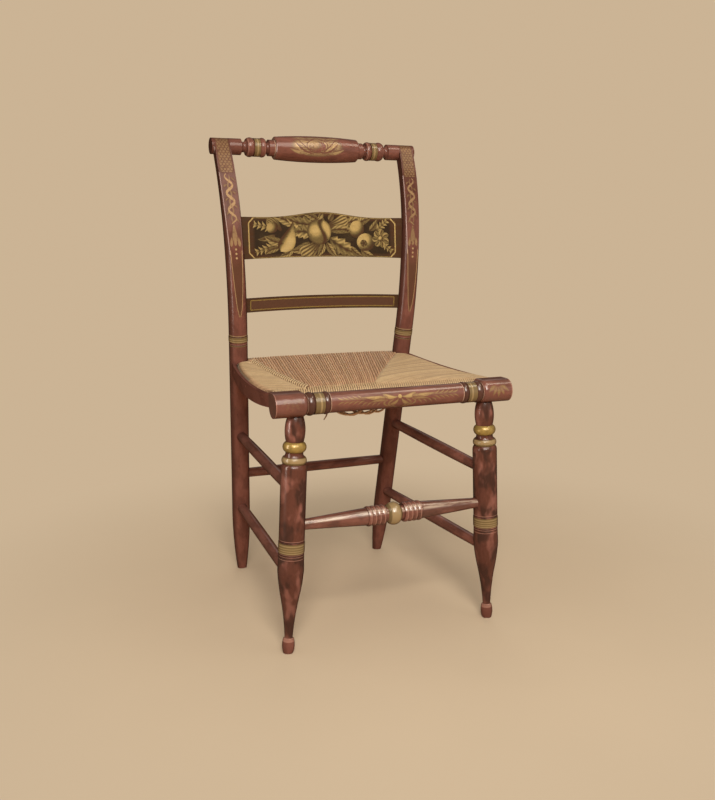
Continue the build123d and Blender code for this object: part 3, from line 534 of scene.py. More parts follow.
class Stencil:
    """Thin gold shapes laid on a painted part. Each shape is a grid patch bent to its outline, and lies a
    little higher than the one before."""

    FIRST_LIFT, NEXT_LIFT = 0.10, 0.004

    def __init__(self, node, place):
        self.bm = bmesh.new()
        # the worn layer holds a painted highlight
        self.layers = [self.bm.verts.layers.float.new(key) for key in ("gold", "plain", "worn")]
        self.surface = surface_of(node)
        self.place = place
        self.count = 0

    def patch(self, shape, columns, rows):
        """shape(u, v), u 0 to 1 along it and v -1 to 1 across it, gives a, b and how much gold is there,
        then, if it likes, how plain the paint is and how strong a painted highlight lies there."""
        lift = (self.FIRST_LIFT + self.NEXT_LIFT * self.count) * MM
        self.count += 1
        made = bmesh.ops.create_grid(self.bm, x_segments=columns, y_segments=rows, size=1.0)["verts"]
        lost = []
        for vert in made:
            a, b, *amounts = shape((vert.co.x + 1) / 2, vert.co.y)
            start, inward = self.place(a, b)
            hit = self.surface.ray_cast(start, inward)[0]
            if hit is None:
                lost.append(vert)
                continue
            vert.co = hit - inward * lift
            for layer, amount in zip(self.layers, amounts):
                vert[layer] = amount
        if len(lost) == len(made):
            raise RuntimeError("a stencil shape misses its part")
        bmesh.ops.delete(self.bm, geom=lost, context="VERTS")

    def blade(self, base, tip, width, bend=0.0, outline="leaf", shade="even", gold=0.9, columns=12, rows=4):
        """A leaf, petal, pear or brush stroke from its base to its tip, bent sideways."""
        run = Vector(tip) - Vector(base)
        side = Vector((-run.y, run.x)).normalized()
        half_width, tone = OUTLINES[outline], SHADES[shade]

        def shape(u, v):
            middle = Vector(base) + run * u + side * (bend * 4 * u * (1 - u))
            spot = middle + side * (v * width / 2 * half_width(u))
            # the broad shapes, which have more rows, fade a little toward their rim
            rim = 0.75 + 0.25 * smooth(1 - abs(v), 0.0, 0.2) if rows > 5 else 1.0
            return spot.x, spot.y, gold * tone(u, v) * rim
        self.patch(shape, columns, rows)

    # worn is the strength of a painted highlight along the line
    def ribbon(self, path, width, gold=0.9, columns=24, taper=0.0, swell=None, plain=0.0, worn=0.0):
        """A line of even or tapering width along a path of 0 to 1."""
        def shape(u, v):
            here = Vector(path(u))
            ahead = Vector(path(min(1.0, u + 0.01))) - Vector(path(max(0.0, u - 0.01)))
            side = Vector((-ahead.y, ahead.x)).normalized()
            broad = width * (1 - taper * abs(2 * u - 1) ** 3) * (swell(u) if swell else 1)
            spot = here + side * (v * broad / 2)
            return spot.x, spot.y, gold, plain, worn
        self.patch(shape, columns, 1)

    def round(self, centre, radius, shade, gold=0.95, tall=1.0, tilt=0.0, cells=14):
        """A round or oval fruit, blossom or dot."""
        tone = SHADES[shade]
        turn = Matrix.Rotation(tilt, 2)

        def shape(u, v):
            x, y = 2 * u - 1, v
            disc = Vector((x * math.sqrt(1 - y * y / 2), y * math.sqrt(1 - x * x / 2)))
            spot = Vector(centre) + turn @ Vector((disc.x * radius, disc.y * radius * tall))
            return spot.x, spot.y, gold * tone(disc.x, disc.y)
        self.patch(shape, cells, cells)

    def finish(self, name, material):
        for face in self.bm.faces:
            face.smooth = True
        bmesh.ops.recalc_face_normals(self.bm, faces=self.bm.faces)
        made = made_object(name, self.bm, material)
        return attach(made, "root")


OUTLINES = {
    "leaf": lambda u: math.sin(math.pi * u ** 0.8) ** 0.85,
    "lobed": lambda u: math.sin(math.pi * u ** 0.8) ** 0.8 * (0.60 + 0.40 * (u * 4.6 % 1)),
    "stroke": lambda u: math.sin(math.pi * min(1.0, u * 0.97 + 0.03) ** 0.7) ** 0.8,
    "pear": lambda u: math.sin(math.pi * u ** 1.5) ** 0.55 * (0.5 + 0.5 * u) + 0.05 * (1 - u),
    "petal": lambda u: math.sin(math.pi * u ** 1.5) ** 0.6,
    "fan": lambda u: 0.15 + 0.85 * u ** 0.8 * math.sqrt(max(0.0, 1 - u ** 6)),
}


def veined(u, v):
    """A leaf: dark along its midrib and its slanting veins, one half brighter than the other."""
    veins = 0.5 + 0.5 * math.cos(28.9 * (u - 0.3 * abs(v)))
    side = 1.0 if v > 0 else 0.62
    return (0.06 + side * (0.40 + 0.60 * veins) * smooth(abs(v), 0.02, 0.34)) * smooth(u, -0.2, 0.25)


def ribbed(u, v):
    """A shell-like leaf with ribs that run out from its base."""
    return 0.16 + 0.85 * (0.5 + 0.5 * math.cos(v * 15)) * smooth(u, 0.0, 0.75)


def cleft_fruit(x, y):
    """A round fruit with an S-shaped cleft, lit on its left lobe and along its right edge."""
    cleft = x - 0.24 - 0.26 * math.sin(-2.6 * y) * (1 - 0.3 * y * y)
    rim = smooth(1 - math.hypot(x, y), 0.0, 0.22)
    if cleft < 0:
        lit = 0.98 - 0.62 * smooth(math.hypot(x + 0.30, 1.1 * (y - 0.10)), 0.12, 0.78)
        return (lit - 0.35 * smooth(cleft, -0.22, 0.0)) * (0.5 + 0.5 * rim)
    return (0.06 + 0.80 * smooth(cleft, 0.03, 0.40)) * (0.5 + 0.5 * rim)


def rounded(x, y):
    """A fruit lit from its upper left, its far rim lost in the dark ground."""
    return 0.10 + 0.92 * smooth(1.40 - math.hypot(x + 0.40, y - 0.35), 0.0, 1.05)


def pear_lit(u, v):
    """A pear along its length, bright down its left and dark at its right edge and its stalk."""
    return 0.10 + 0.95 * smooth(1.15 - abs(v - 0.3), 0.0, 0.9) * smooth(u, -0.15, 0.6)


SHADES = {
    "even": lambda u, v: 1.0,
    "veined": veined,
    "ribbed": ribbed,
    "cleft": cleft_fruit,
    "rounded": rounded,
    "pear": pear_lit,
    "fading": lambda u, v: smooth(u, -0.15, 0.55),
    "soft": lambda u, v: (1 - abs(v) ** 3) * (0.55 + 0.45 * math.sin(math.pi * u)),
    "blossom": lambda x, y: 0.25 + 0.7 * (0.5 + 0.5 * math.cos(5 * math.atan2(y, x))) * smooth(
        math.hypot(x, y), 0.1, 0.7),
}


def stencil_material(name, ground, strength=1.0, brown=(0.10, 0.036, 0.024), gloss=0.4, powder=None):
    """The part's own paint with bronze powder where the stencil let it through. brown is the plain paint of
    its lines and fields, and powder its shaded and its bright tone, if not the olive and the gold."""
    paint = bpy.context.scene.chair_paint
    shaded, bright = powder or (paint.olive, paint.gold)
    material, shade, shader = new_material(name)
    place = shade.coordinates()
    colour, roughness, height = ground(shade, place)
    grains = shade.math("SUBTRACT", shade.noise(place, 1700.0, 2.0, 0.6), 0.5)
    rubbed = shade.noise(place, 160.0, 3.0, 0.6)
    amount = shade.math("ADD", shade.attribute("gold"), shade.times(grains, 0.35))
    amount = shade.math("SUBTRACT", amount, shade.ramp(rubbed, 0.55, 0.8, 0.0, 0.35))
    colour = shade.mix(shade.attribute("plain"), colour, brown)
    # painted highlight, in a pale pinkish tone, where the worn layer is set
    colour = shade.mix(shade.attribute("worn"), colour, (0.46, 0.31, 0.26))
    colour = shade.layers(
        colour, (amount, 0.06, 0.42, 0.0, strength, shaded), (amount, 0.30, 0.78, 0.0, strength, bright),
        (amount, 0.78, 1.10, 0.0, 0.55 * strength, (0.50, 0.365, 0.170)))
    shade.fill(shader, {"Metallic": shade.ramp(amount, 0.2, 0.9, 0.0, 0.3)})
    lay_paint(shade, shader, colour, roughness, height, gloss)
    return material


# ---------------------------------------------------------------- the slats


def edge_height(surface, across, inside, outside):
    """The height of a slat's edge, in mm, this far from its middle: it lies between these two heights."""
    for _ in range(14):
        middle = (inside + outside) / 2
        if surface.ray_cast(*facing_forward(across, middle))[0]:
            inside = middle
        else:
            outside = middle
    return inside


def slat_lines(surface, middle, reach, inset):
    """How high the lines inside a slat's upper and lower edge run, as two functions of how far across: they
    are inset from edges that lie within reach of the slat's middle height. All in mm."""
    def top(x):
        return edge_height(surface, x, middle, middle + reach) - inset

    def low(x):
        return edge_height(surface, x, middle, middle - reach) + inset
    return top, low


def along_slat(half, height):
    """A path from end to end of a slat's field, at the heights that this function gives."""
    def path(u):
        x = half * (2 * u - 1)
        return x, height(x)
    return path


class CHAIR_OT_wide_slat(bpy.types.Operator):
    """Stencil the wide slat: fruits and a flower among leaves and sprays in an eight-sided gold frame"""

    bl_idname = "chair.wide_slat"
    bl_label = "Fruit stencil on the wide slat"

    def execute(self, context):
        s = Stencil("wide_slat", facing_forward)
        end, corner = 149.0, 9.5
        top, low = slat_lines(s.surface, 670.0, 70.0, 1.5)

        def bloom(u, v):
            """A thin olive cloud over the ground inside the frame, for the shapes to stand in."""
            x = (end - 3) * (2 * u - 1)
            high, deep = top(x) - 2, low(x) + 2
            cloud = 0.5 + 0.5 * math.sin(x * 0.09 + 2.2 * v) * math.cos(x * 0.053 - 3.0 * v)
            fade = smooth(1 - abs(2 * u - 1), 0.0, 0.16) * smooth(1 - abs(v), 0.0, 0.3)
            height = (high + deep) / 2 + v * (high - deep) / 2
            return x, height, (0.02 + 0.12 * cloud) * fade, 0.9 * smooth(fade, 0.0, 0.4)
        s.patch(bloom, 60, 12)

        inner = end - corner
        for height in (top, low):
            s.ribbon(along_slat(inner, height), 1.6, 0.50, 80)
        for side in (-1, 1):
            high, deep = top(side * inner), low(side * inner)
            s.ribbon(lambda u: (side * end, deep + corner + (high - deep - 2 * corner) * u), 2.4, 0.80, 16)
            s.ribbon(lambda u: (side * (end - corner * u), high - corner + corner * u), 2.4, 0.80, 6)
            s.ribbon(lambda u: (side * (end - corner * u), deep + corner - corner * u), 2.4, 0.80, 6)

        def leaf(base, tip, width, bend=0.0, gold=0.78):
            s.blade(base, tip, width, bend, "lobed", "veined", gold, 26, 10)

        def plain(base, tip, width, bend=0.0, gold=0.72):
            s.blade(base, tip, width, bend, "leaf", "veined", gold, 14, 8)

        def fan(base, tip, width, bend=0.0, gold=0.78):
            s.blade(base, tip, width, bend, "fan", "ribbed", gold, 14, 20)

        def spray(root, tip, leaflets, length, gold=0.62):
            """A stalk with narrow leaflets on both sides."""
            root, tip = Vector(root), Vector(tip)
            run = tip - root
            s.blade(root, tip, 2.0, 1.0, "stroke", "even", gold)
            for i in range(leaflets):
                at = root + run * (0.1 + 0.85 * i / leaflets)
                for hand in (-1, 1):
                    turned = run.normalized() * length
                    turned.rotate(Matrix.Rotation(hand * 0.72, 2))
                    s.blade(at, at + turned * (1 - 0.3 * i / leaflets), 4.4, hand * -1.8,
                            "stroke", "fading", gold, 8, 3)

        # left: sprays, a bell flower, a pear and a small fruit among leaves
        spray((-100, 688), (-142, 696), 4, 15)
        spray((-98, 656), (-139, 643), 4, 15)
        plain((-96, 676), (-132, 668), 10, 3, 0.55)
        fan((-84, 684), (-112, 706), 24, -3, 0.62)
        plain((-58, 692), (-98, 709), 19, -4)
        plain((-80, 662), (-118, 674), 18, 4)
        plain((-88, 652), (-118, 640), 13, -3, 0.6)
        plain((-60, 652), (-88, 636), 14, 3)
        # round the middle fruit
        leaf((-14, 696), (-74, 708), 33, 5)
        leaf((-16, 676), (-70, 676), 30, -6)
        plain((-8, 702), (-38, 715), 14, -3, 0.6)
        plain((-26, 662), (-66, 646), 18, 5)
        fan((-8, 664), (-44, 637), 42, 3)
        plain((2, 662), (-12, 635), 14, 2)
        leaf((44, 694), (86, 707), 21, 3, 0.66)
        fan((12, 694), (52, 706), 38, -3)
        plain((14, 702), (24, 717), 12, 1, 0.55)
        plain((14, 684), (66, 682), 17, 4)
        leaf((14, 670), (76, 639), 36, -4)
        plain((8, 662), (28, 635), 14, -2)
        plain((2, 700), (-4, 717), 13, 3, 0.6)
        s.blade((-60, 700), (-86, 645), 38, 6, "pear", "pear", 0.90, 20, 14)
        s.round((-102, 690), 12, "rounded", 0.66, 0.85, 0.5)
        # right: fruits, a flower and sprays
        plain((96, 684), (112, 706), 13, -3, 0.6)
        spray((108, 682), (134, 705), 4, 14, 0.58)
        spray((122, 660), (144, 643), 3, 12, 0.55)
        plain((70, 694), (100, 708), 17, 3)
        plain((78, 650), (104, 636), 15, -4)
        plain((58, 652), (82, 635), 12, -3, 0.6)
        s.round((70, 687), 15, "rounded", 0.80, 1.1, -0.3)
        s.round((88, 662), 18, "rounded", 0.88, 0.95)
        s.round((84, 660), 7, "blossom", 0.42)
        flower, petals = Vector((119, 669)), 7
        for i in range(petals):
            angle = 0.45 + i * math.tau / petals
            spread = Vector((math.cos(angle), math.sin(angle)))
            s.blade(flower + spread * 3, flower + spread * 18, 11, 1.5, "petal", "veined", 0.78, 10, 6)
        s.round(flower, 4.6, "rounded", 0.8, cells=8)
        s.round((-7, 682), 24.5, "cleft", 0.92, 1.0, 0.0, 30)
        s.blade((-10, 704), (2, 716), 8, -2, "petal", "soft", 0.6)
        material = stencil_material("fruit_stencil", black_ground, brown=(0.030, 0.019, 0.011), gloss=0.05,
                                    powder=((0.145, 0.098, 0.036), (0.345, 0.230, 0.084)))
        s.finish("wide_slat_stencil", material)
        return {"FINISHED"}


class CHAIR_OT_narrow_slat(bpy.types.Operator):
    """Frame the narrow slat's red-brown field with a thin gold line"""

    bl_idname = "chair.narrow_slat"
    bl_label = "Field and gold line on the narrow slat"

    def execute(self, context):
        s = Stencil("narrow_slat", facing_forward)
        end, width, gold = 148.0, 1.7, 0.60
        top, low = slat_lines(s.surface, 545.0, 35.0, 4.4)

        def field(u, v):
            x = end * (2 * u - 1)
            high, deep = top(x), low(x)
            return x, (high + deep) / 2 + v * (high - deep) / 2, 0.0, 0.85
        s.patch(field, 80, 2)
        for height in (top, low):
            s.ribbon(along_slat(end, height), width, gold, 80)
        for side in (-1, 1):
            high, deep = top(side * end), low(side * end)
            s.ribbon(lambda u: (side * end, deep + (high - deep) * u), width, gold, 6)
        material = stencil_material(
            "slat_line", black_ground, 0.85, brown=(0.105, 0.047, 0.026), gloss=0.05)
        s.finish("narrow_slat_line", material)
        return {"FINISHED"}


# ---------------------------------------------------------------- the posts
# a across the post's front from its middle line and b up it, in mm


def lay_scales(s):
    """Dark fish scales on tan, row by row down from the scroll."""
    half, bottom, tall, first_row = 13.5, 789, 67, 855.0
    s.patch(lambda u, v: (half * v, bottom + tall * u, 0.42 * smooth(1 - abs(v), 0.0, 0.12)), 30, 8)
    pitch, row_height, radius = 6.4, 4.6, 3.7
    rows, outermost = 15, 11.5
    for row in range(rows):
        height = first_row - row * row_height
        for column in range(-2, 3):
            middle = (column + (0.5 if row % 2 else 0.0)) * pitch
            if abs(middle) > outermost:
                continue
            s.ribbon(lambda u: (middle + radius * math.cos(math.pi * (1 + u)),
                                height + radius * math.sin(math.pi * (1 + u))), 1.1, 0.0, 8, plain=0.48)


def lay_vine(s):
    """A thick stem that twists round a thin one, with buds in its bends."""
    start, end, turns = 784.0, 696.0, 6.0

    def phase(u):
        return turns * math.pi * u + 0.5
    for i in range(7):
        at = start + (end - start) * (0.08 + 0.14 * i)
        hand = 1 if i % 2 else -1
        s.blade((hand * 3, at + 2), (hand * 10.5, at - 5), 5.5, hand * 2, "leaf", "soft", 0.40, 8, 3)
    s.ribbon(lambda u: (-2.4 * math.sin(phase(u)), start + (end - start) * u), 3.0, 0.40, 80, 0.5)
    s.ribbon(lambda u: (6.2 * math.sin(phase(u)), start + 2 + (end - start - 2) * u), 4.6, 0.54, 90, 0.7,
             lambda u: 0.7 + 0.45 * abs(math.cos(phase(u))))


def flat_reach(s, height):
    """How far the flat of a post's front reaches from its middle at this height."""
    reach, step, farthest, level = 0.5, 0.25, 20, 0.965
    normal = s.surface.ray_cast(*s.place(0, height))[1]
    while reach < farthest:
        found = s.surface.ray_cast(*s.place(reach, height))
        if found[0] is None or found[1].dot(normal) < level:
            break
        reach += step
    return reach


def lay_field(s, side):
    """The long pointed field at the bend between two yellow stripes, and the painted highlights along the
    arrises above it. Each runs up from its foot."""
    reaches = {}
    foot, tall = 526, 122
    arris_foot, arris_tall = 640, 196
    inner_foot, inner_tall, margin = 530, 118, 1.4

    def reach(height):
        key = round(height)
        if key not in reaches:
            reaches[key] = flat_reach(s, height)
        return reaches[key]

    def settled(height):
        return sum(reach(height + d) for d in (-12, -6, 0, 6, 12)) / 5

    def stripe(u):
        return max(0.4, (settled(inner_foot + inner_tall * u) - margin) * smooth(u, -0.09, 0.16))
    s.patch(lambda u, v: (v * stripe(u), foot + tall * u, 0.0, 0.9 * smooth(1 - u, 0.0, 0.3)), 50, 4)
    for hand in (-1, 1):
        s.ribbon(lambda u: (hand * stripe(u), foot + tall * u), 1.3, 0.85, 60)
        # a painted highlight along each arris, strongest on its left edge
        width, bare = (1.3, 0.85) if hand == -side else (0.9, 0.30)
        s.ribbon(lambda u: (hand * (settled(arris_foot + arris_tall * u) - 0.4),
                            arris_foot + arris_tall * u), width, 0.0, 70, worn=bare)


def lay_bud(s):
    """A bud with three points, and three dots below it."""
    s.blade((0, 694), (0, 663), 12.5, 0, "fan", "even", 0.50, 16, 5)
    for tip in (-8, 0, 8):
        s.blade((tip * 0.8, 672), (tip, 656 - abs(tip) * 0.2), 5.5, 0, "petal", "even", 0.56, 8, 3)
    for height in (650, 642, 634):
        s.round((0, height), 2.0, "even", 0.9, cells=5)


class CHAIR_OT_posts(bpy.types.Operator):
    """Stencil the posts: scales at the top, a twisting vine, a bud with dots and a long pointed field"""

    bl_idname = "chair.posts"
    bl_label = "Stencils on the rear posts"

    def execute(self, context):
        material = stencil_material(
            "post_stencil", POST_PAINT, 0.85, brown=(0.100, 0.042, 0.022), gloss=0.08,
            powder=((0.165, 0.092, 0.042), (0.34, 0.205, 0.098)))
        for name, side in SIDES:
            s = Stencil(f"rear_post_{name}", up_post(side))
            lay_scales(s)
            lay_vine(s)
            lay_field(s, side)
            lay_bud(s)
            s.finish(f"post_stencil_{name}", material)
        return {"FINISHED"}


# ---------------------------------------------------------------- the roll and the crest


class CHAIR_OT_roll(bpy.types.Operator):
    """Stencil the seat roll: a bow, streaming leaves and feathery sprays, and a palmette on each block"""

    bl_idname = "chair.roll"
    bl_label = "Stencils on the seat roll"

    def execute(self, context):
        s = Stencil("seat_roll", round_axis(*ROLL_AXIS, 17.0))
        block_middle = 184
        for hand in (-1, 1):
            def stroke(base, tip, width, bend, gold, outline="stroke", columns=8, rows=3, shade="soft"):
                s.blade((hand * base[0], base[1]), (hand * tip[0], tip[1]), width, hand * bend,
                        outline, shade, gold, columns, rows)
            # tails of the bow, and the sprays that end the motif
            for i in range(3):
                s.ribbon(lambda u: (hand * (3 + 8 * i + 9 * math.sin(math.pi * u)), -1 - 15 * u + 2 * i),
                         3.2, 0.42, 14, 0.8)
            for i in range(5):
                at = 62 + 8.5 * i
                stroke((at, 6), (at + 13, 13.5 - 0.6 * i), 3.6, -1.8, 0.55)
                stroke((at, 2), (at + 13, -6 + 0.6 * i), 3.6, 1.8, 0.46)
            for i in range(4):
                at = 30 + 9 * i
                stroke((at, -1), (at + 11, -11 + 0.6 * i), 4.4, 2.0, 0.42)
            stroke((44, 5), (104, 4.5), 1.8, 0, 0.34, "stroke", 24, 1, "even")
            # streaming leaves and the loops of the bow
            stroke((22, 5), (66, 8), 9.5, -1.6, 0.66, "stroke", 18, 4)
            stroke((24, 0), (54, -2), 6, 1.6, 0.50, "stroke", 14, 4)
            stroke((2, 5), (30, 10), 12, -3, 0.74, "pear", 14, 4)
            stroke((2, 3), (18, -8), 8, -3, 0.58, "petal", 12, 4)
            # one palmette on each block, faint on the left one
            gold = 0.48 if hand > 0 else 0.22
            for a, b, width in ((-20, 0, 9), (-11, -6, 8), (11, -6, 8), (20, 0, 9), (0, -8, 9)):
                middle = hand * block_middle
                s.blade((middle + a * 0.1, 9), (middle + a, b), width, a * 0.12,
                        "leaf", "soft", gold, 10, 4)
        s.round((0, 5), 3.4, "even", 0.7, cells=6)
        material = stencil_material("roll_stencil", ROLL_PAINT, 0.85, gloss=0.62,
                                    powder=((0.215, 0.118, 0.050), (0.38, 0.245, 0.090)))
        s.finish("roll_stencil", material)
        return {"FINISHED"}


class CHAIR_OT_crest(bpy.types.Operator):
    """Stencil the crest's pillow: a cup between sweeping leaves, on rubbed bronze powder"""

    bl_idname = "chair.crest"
    bl_label = "Stencil on the crest rail"

    def execute(self, context):
        s = Stencil("crest_rail", round_axis(*CREST_AXIS, 24.0))
        middle = -4

        def powder(u, v):
            """Thinner and thinner toward the pillow's ends and edges."""
            amount = 0.52 * smooth(1.0 - math.hypot(2 * u - 1, v), 0.0, 0.30)
            return middle + 60 * (2 * u - 1), 5 + 23 * v, amount
        s.patch(powder, 50, 16)
        s.round((middle, 4), 17, "rounded", 0.50, 0.62)
        for hand in (-1, 1):
            for base, tip, width, bend, shade, gold, columns, rows in (
                    ((6, -6), (44, 12), 13, -7, "veined", 0.92, 18, 6),
                    ((20, -8), (56, 0), 9, -3, "soft", 0.74, 16, 4),
                    ((14, 15), (50, 21), 9, 3, "soft", 0.62, 14, 4)):
                s.blade((hand * base[0] + middle, base[1]), (hand * tip[0] + middle, tip[1]), width,
                        hand * bend, "leaf", shade, gold, columns, rows)
            # dark lines round the leaves and the cup
            for inset, lift in ((0, 0), (7, 6)):
                s.ribbon(lambda u: (hand * (8 + (40 - inset) * u) + middle, -9 + lift + 26 * u * u),
                         1.8, 0.0, 24, 0.6, plain=0.55)
            s.ribbon(lambda u: (hand * 34 * u + middle, 22 - 5 * math.sin(math.pi * u)),
                     1.6, 0.0, 20, 0.5, plain=0.5)
        s.ribbon(lambda u: (middle + 21 * math.cos(2 * math.pi * u), 5 + 12.5 * math.sin(2 * math.pi * u)),
                 1.6, 0.0, 40, plain=0.6)
        material = stencil_material("crest_stencil", CREST_PAINT, 0.85, brown=(0.130, 0.052, 0.030),
                                    powder=((0.185, 0.110, 0.055), (0.42, 0.27, 0.125)))
        s.finish("crest_stencil", material)
        return {"FINISHED"}


# ---------------------------------------------------------------- rush seat


class RushBody:
    """The seat's outer surface, and the paths that strands take over it. All in mm."""

    # where the search for its surface starts, in metres
    OVER_SEAT, UNDER_SEAT, BESIDE_SEAT = 0.6, 0.2, 0.4
    # how far in from the seat's side a side rail's axis is, how far from a rail's axis the search for the
    # surface round it starts, and how far from it that may be
    RAIL_INSET, AROUND, FARTHEST = 12.5, 30, 19
    # about how far apart a strand's points are, and the largest steps it takes in height
    RUN, TOP_STEP, UNDER_STEP = 14, 9, 12

    def __init__(self):
        self.surface = surface_of("rush_seat")

    def level(self, x, y, start, way):
        hit = self.surface.ray_cast(Vector((x * MM, y * MM, start)), Vector((0, 0, way)))[0]
        return None if hit is None else hit.z / MM

    def top(self, x, y):
        return self.level(x, y, self.OVER_SEAT, -1)

    def under(self, x, y):
        return self.level(x, y, self.UNDER_SEAT, 1)

    def side_rail(self, side, y):
        """The middle of the side rail inside the rush at this depth."""
        level = (self.top(side * 150, y) + self.under(side * 150, y)) / 2
        beside = Vector((side * self.BESIDE_SEAT, y * MM, level * MM))
        x = self.surface.ray_cast(beside, Vector((-side, 0, 0)))[0].x / MM - side * self.RAIL_INSET
        return Vector((x, y, (self.top(x, y) + self.under(x, y)) / 2))

    def over(self, start, rail, thick_start, thick_end, back_under=0.9, dip=2.6):
        """A strand from its seam over the top, round the rail and back underneath: its points, its radii
        and the way out of the seat at each."""
        away = Vector((rail.x - start[0], rail.y - start[1], 0))
        outward, up = away.normalized(), Vector((0, 0, 1))
        knots, last = [], None
        steps = max(5, min(14, round(away.length / self.RUN)))
        for i in range(steps + 1):
            u = i / steps
            x, y = start[0] + away.x * u, start[1] + away.y * u
            thick = thick_start + (thick_end - thick_start) * u
            level = self.top(x, y)
            if level is None or (last is not None and abs(level - last) > self.TOP_STEP):
                continue
            last = level
            knots.append((Vector((x, y, level - thick - (dip if i == 0 else 0))), thick, up))
        # round the rail, by degrees above and below its level
        for turn in (66, 42, 18, -6, -30, -54, -78):
            toward = outward * math.cos(math.radians(turn)) + up * math.sin(math.radians(turn))
            hit = self.surface.ray_cast((rail + toward * self.AROUND) * MM, -toward)[0]
            if hit is not None and (hit / MM - rail).length <= self.FARTHEST:
                knots.append((hit / MM - toward * thick_end, thick_end, toward))
        for i in range(1, steps // 2 + 1):
            u = 1 - back_under * i / (steps // 2)
            x, y = start[0] + away.x * u, start[1] + away.y * u
            level = self.under(x, y)
            if level is not None and abs(level + thick_end - knots[-1][0].z) <= self.UNDER_STEP:
                knots.append((Vector((x, y, level + thick_end)), thick_end, -up))
        return zip(*knots)


def along_line(corners, t):
    """A point this share of the way along straight runs given as (share, x, y)."""
    for (t0, *a), (t1, *b) in zip(corners, corners[1:]):
        if t <= t1:
            u = (t - t0) / (t1 - t0)
            return [p + (q - p) * u for p, q in zip(a, b)]
    return list(corners[-1][1:])


def near(value, spread):
    """This value, a little more or less."""
    return value * (1 + spread * (random.random() * 2 - 1))


def stand_for_seat(made):
    """Put a finished piece of the seat in place of its CAD solid."""
    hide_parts("rush_seat")
    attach(made, "root")


def weave(name, strands, material):
    """Round strands as one mesh. Each keeps its tone, how reddish it is, its twisted fibres and which side
    of it lies open, for the material."""
    # how far the fibres turn, and how far along them the material goes, for each mm of a strand
    twist, run = 0.16, 0.02
    curve = bpy.data.curves.new(name, "CURVE")
    curve.dimensions = "3D"
    curve.bevel_depth = MM
    curve.bevel_resolution = 1
    for points, radii, *_ in strands:
        spline = curve.splines.new("POLY")
        spline.points.add(len(points) - 1)
        for knot, place, radius in zip(spline.points, points, radii):
            knot.co = (*(place * MM), 1.0)
            knot.radius = radius
    drawn = bpy.data.objects.new(name, curve)
    bpy.context.scene.collection.objects.link(drawn)
    depsgraph = bpy.context.evaluated_depsgraph_get()
    mesh = bpy.data.meshes.new_from_object(drawn.evaluated_get(depsgraph))
    bpy.data.objects.remove(drawn)
    ring = len(mesh.vertices) // sum(len(points) for points, *_ in strands)
    tones, redness, opens, fibres, at = [], [], [], [], 0
    for points, _, ways, tone, reds in strands:
        length, before, start = 0.0, points[0], random.random() * 6
        for i, place in enumerate(points):
            length += (place - before).length
            before = place
            for j in range(ring):
                angle = 2 * math.pi * j / ring + length * twist + start
                tones.append(tone)
                redness.append(reds[i] if hasattr(reds, "__len__") else reds)
                # how far each point faces the open side: the material paints shade where it does not
                opens.append((mesh.vertices[at].co / MM - place).normalized().dot(ways[i]))
                fibres += [math.cos(angle), math.sin(angle), length * run + start]
                at += 1
    for key, values in (("tone", tones), ("reddish", redness), ("open", opens)):
        mesh.attributes.new(key, "FLOAT", "POINT").data.foreach_set("value", values)
    mesh.attributes.new("fibre", "FLOAT_VECTOR", "POINT").data.foreach_set("vector", fibres)
    mesh.shade_smooth()
    mesh.materials.clear()
    mesh.materials.append(material)
    made = bpy.data.objects.new(name, mesh)
    bpy.context.scene.collection.objects.link(made)
    stand_for_seat(made)


def rush_material():
    """Twisted rush, pale or reddish, with painted shade down the sides where the strands meet."""
    settings = bpy.context.scene.chair_rush
    material, shade, shader = new_material("twisted_rush")
    fine = shade.noise(shade.attribute("fibre", "Vector"), 5.0, 3.0, 0.6, (1, 1, 2.0))
    patches = shade.noise(shade.coordinates(), 60.0)
    colour = shade.layers(
        shade.mix(shade.attribute("reddish"), settings.pale, settings.reddish),
        (shade.attribute("tone"), 0.0, 1.0, 0.0, 0.40, (0.20, 0.105, 0.05)),
        (patches, 0.4, 0.75, 0.0, 0.25, (0.34, 0.21, 0.09)),
        (fine, 0.50, 0.72, 0.0, 0.35, (0.24, 0.13, 0.06)),
        (fine, 0.28, 0.45, 0.30, 0.0, (0.78, 0.60, 0.36)),
        # painted shade on the strands' sides and undersides
        (shade.attribute("open"), 0.05, 0.80, 0.78, 0.0, (0.15, 0.066, 0.030)))
    shade.fill(shader, {
        "Base Color": colour, "Roughness": shade.ramp(fine, 0.3, 0.7, 0.5, 0.7),
        "Normal": shade.bump(fine, 0.0004, 0.6), "Specular IOR Level": 0.1})
    return material


def weave_middle(body, pitch, rush):
    """The middle field: from the rear rail to the left seam, the front and the right seam."""
    rear, front_from, front_to, rail_height = 121.0, 0.25, 0.77, 433.5
    rear_ends = [(0.0, -155.0, 140.5), (1.0, 155.0, 140.5)]
    seam_ends = [(0.0, -152.0, rear), (front_from, -140.0, -176.0), (front_to, -27.0, -176.0),
                 (1.0, 150.0, rear)]
    rear_width, front_width, rear_pitch = 310, 110, pitch * 1.07
    strands = []
    count = round(rear_width / rear_pitch)
    for i in range(count + 1):
        t = i / count
        start, rail = along_line(seam_ends, t), Vector((*along_line(rear_ends, t), rail_height))
        at_front = front_from < t < front_to
        half = 0.5 * front_width / ((front_to - front_from) * count) if at_front else 0.5 * pitch
        laid = body.over(start, rail, near(half * 1.08, 0.05), near(pitch * 0.56, 0.06), back_under=0.92)
        strands.append((*laid, random.random() ** 1.4, 0.60 + 0.40 * random.random()))
    weave("rush_centre", strands, rush)


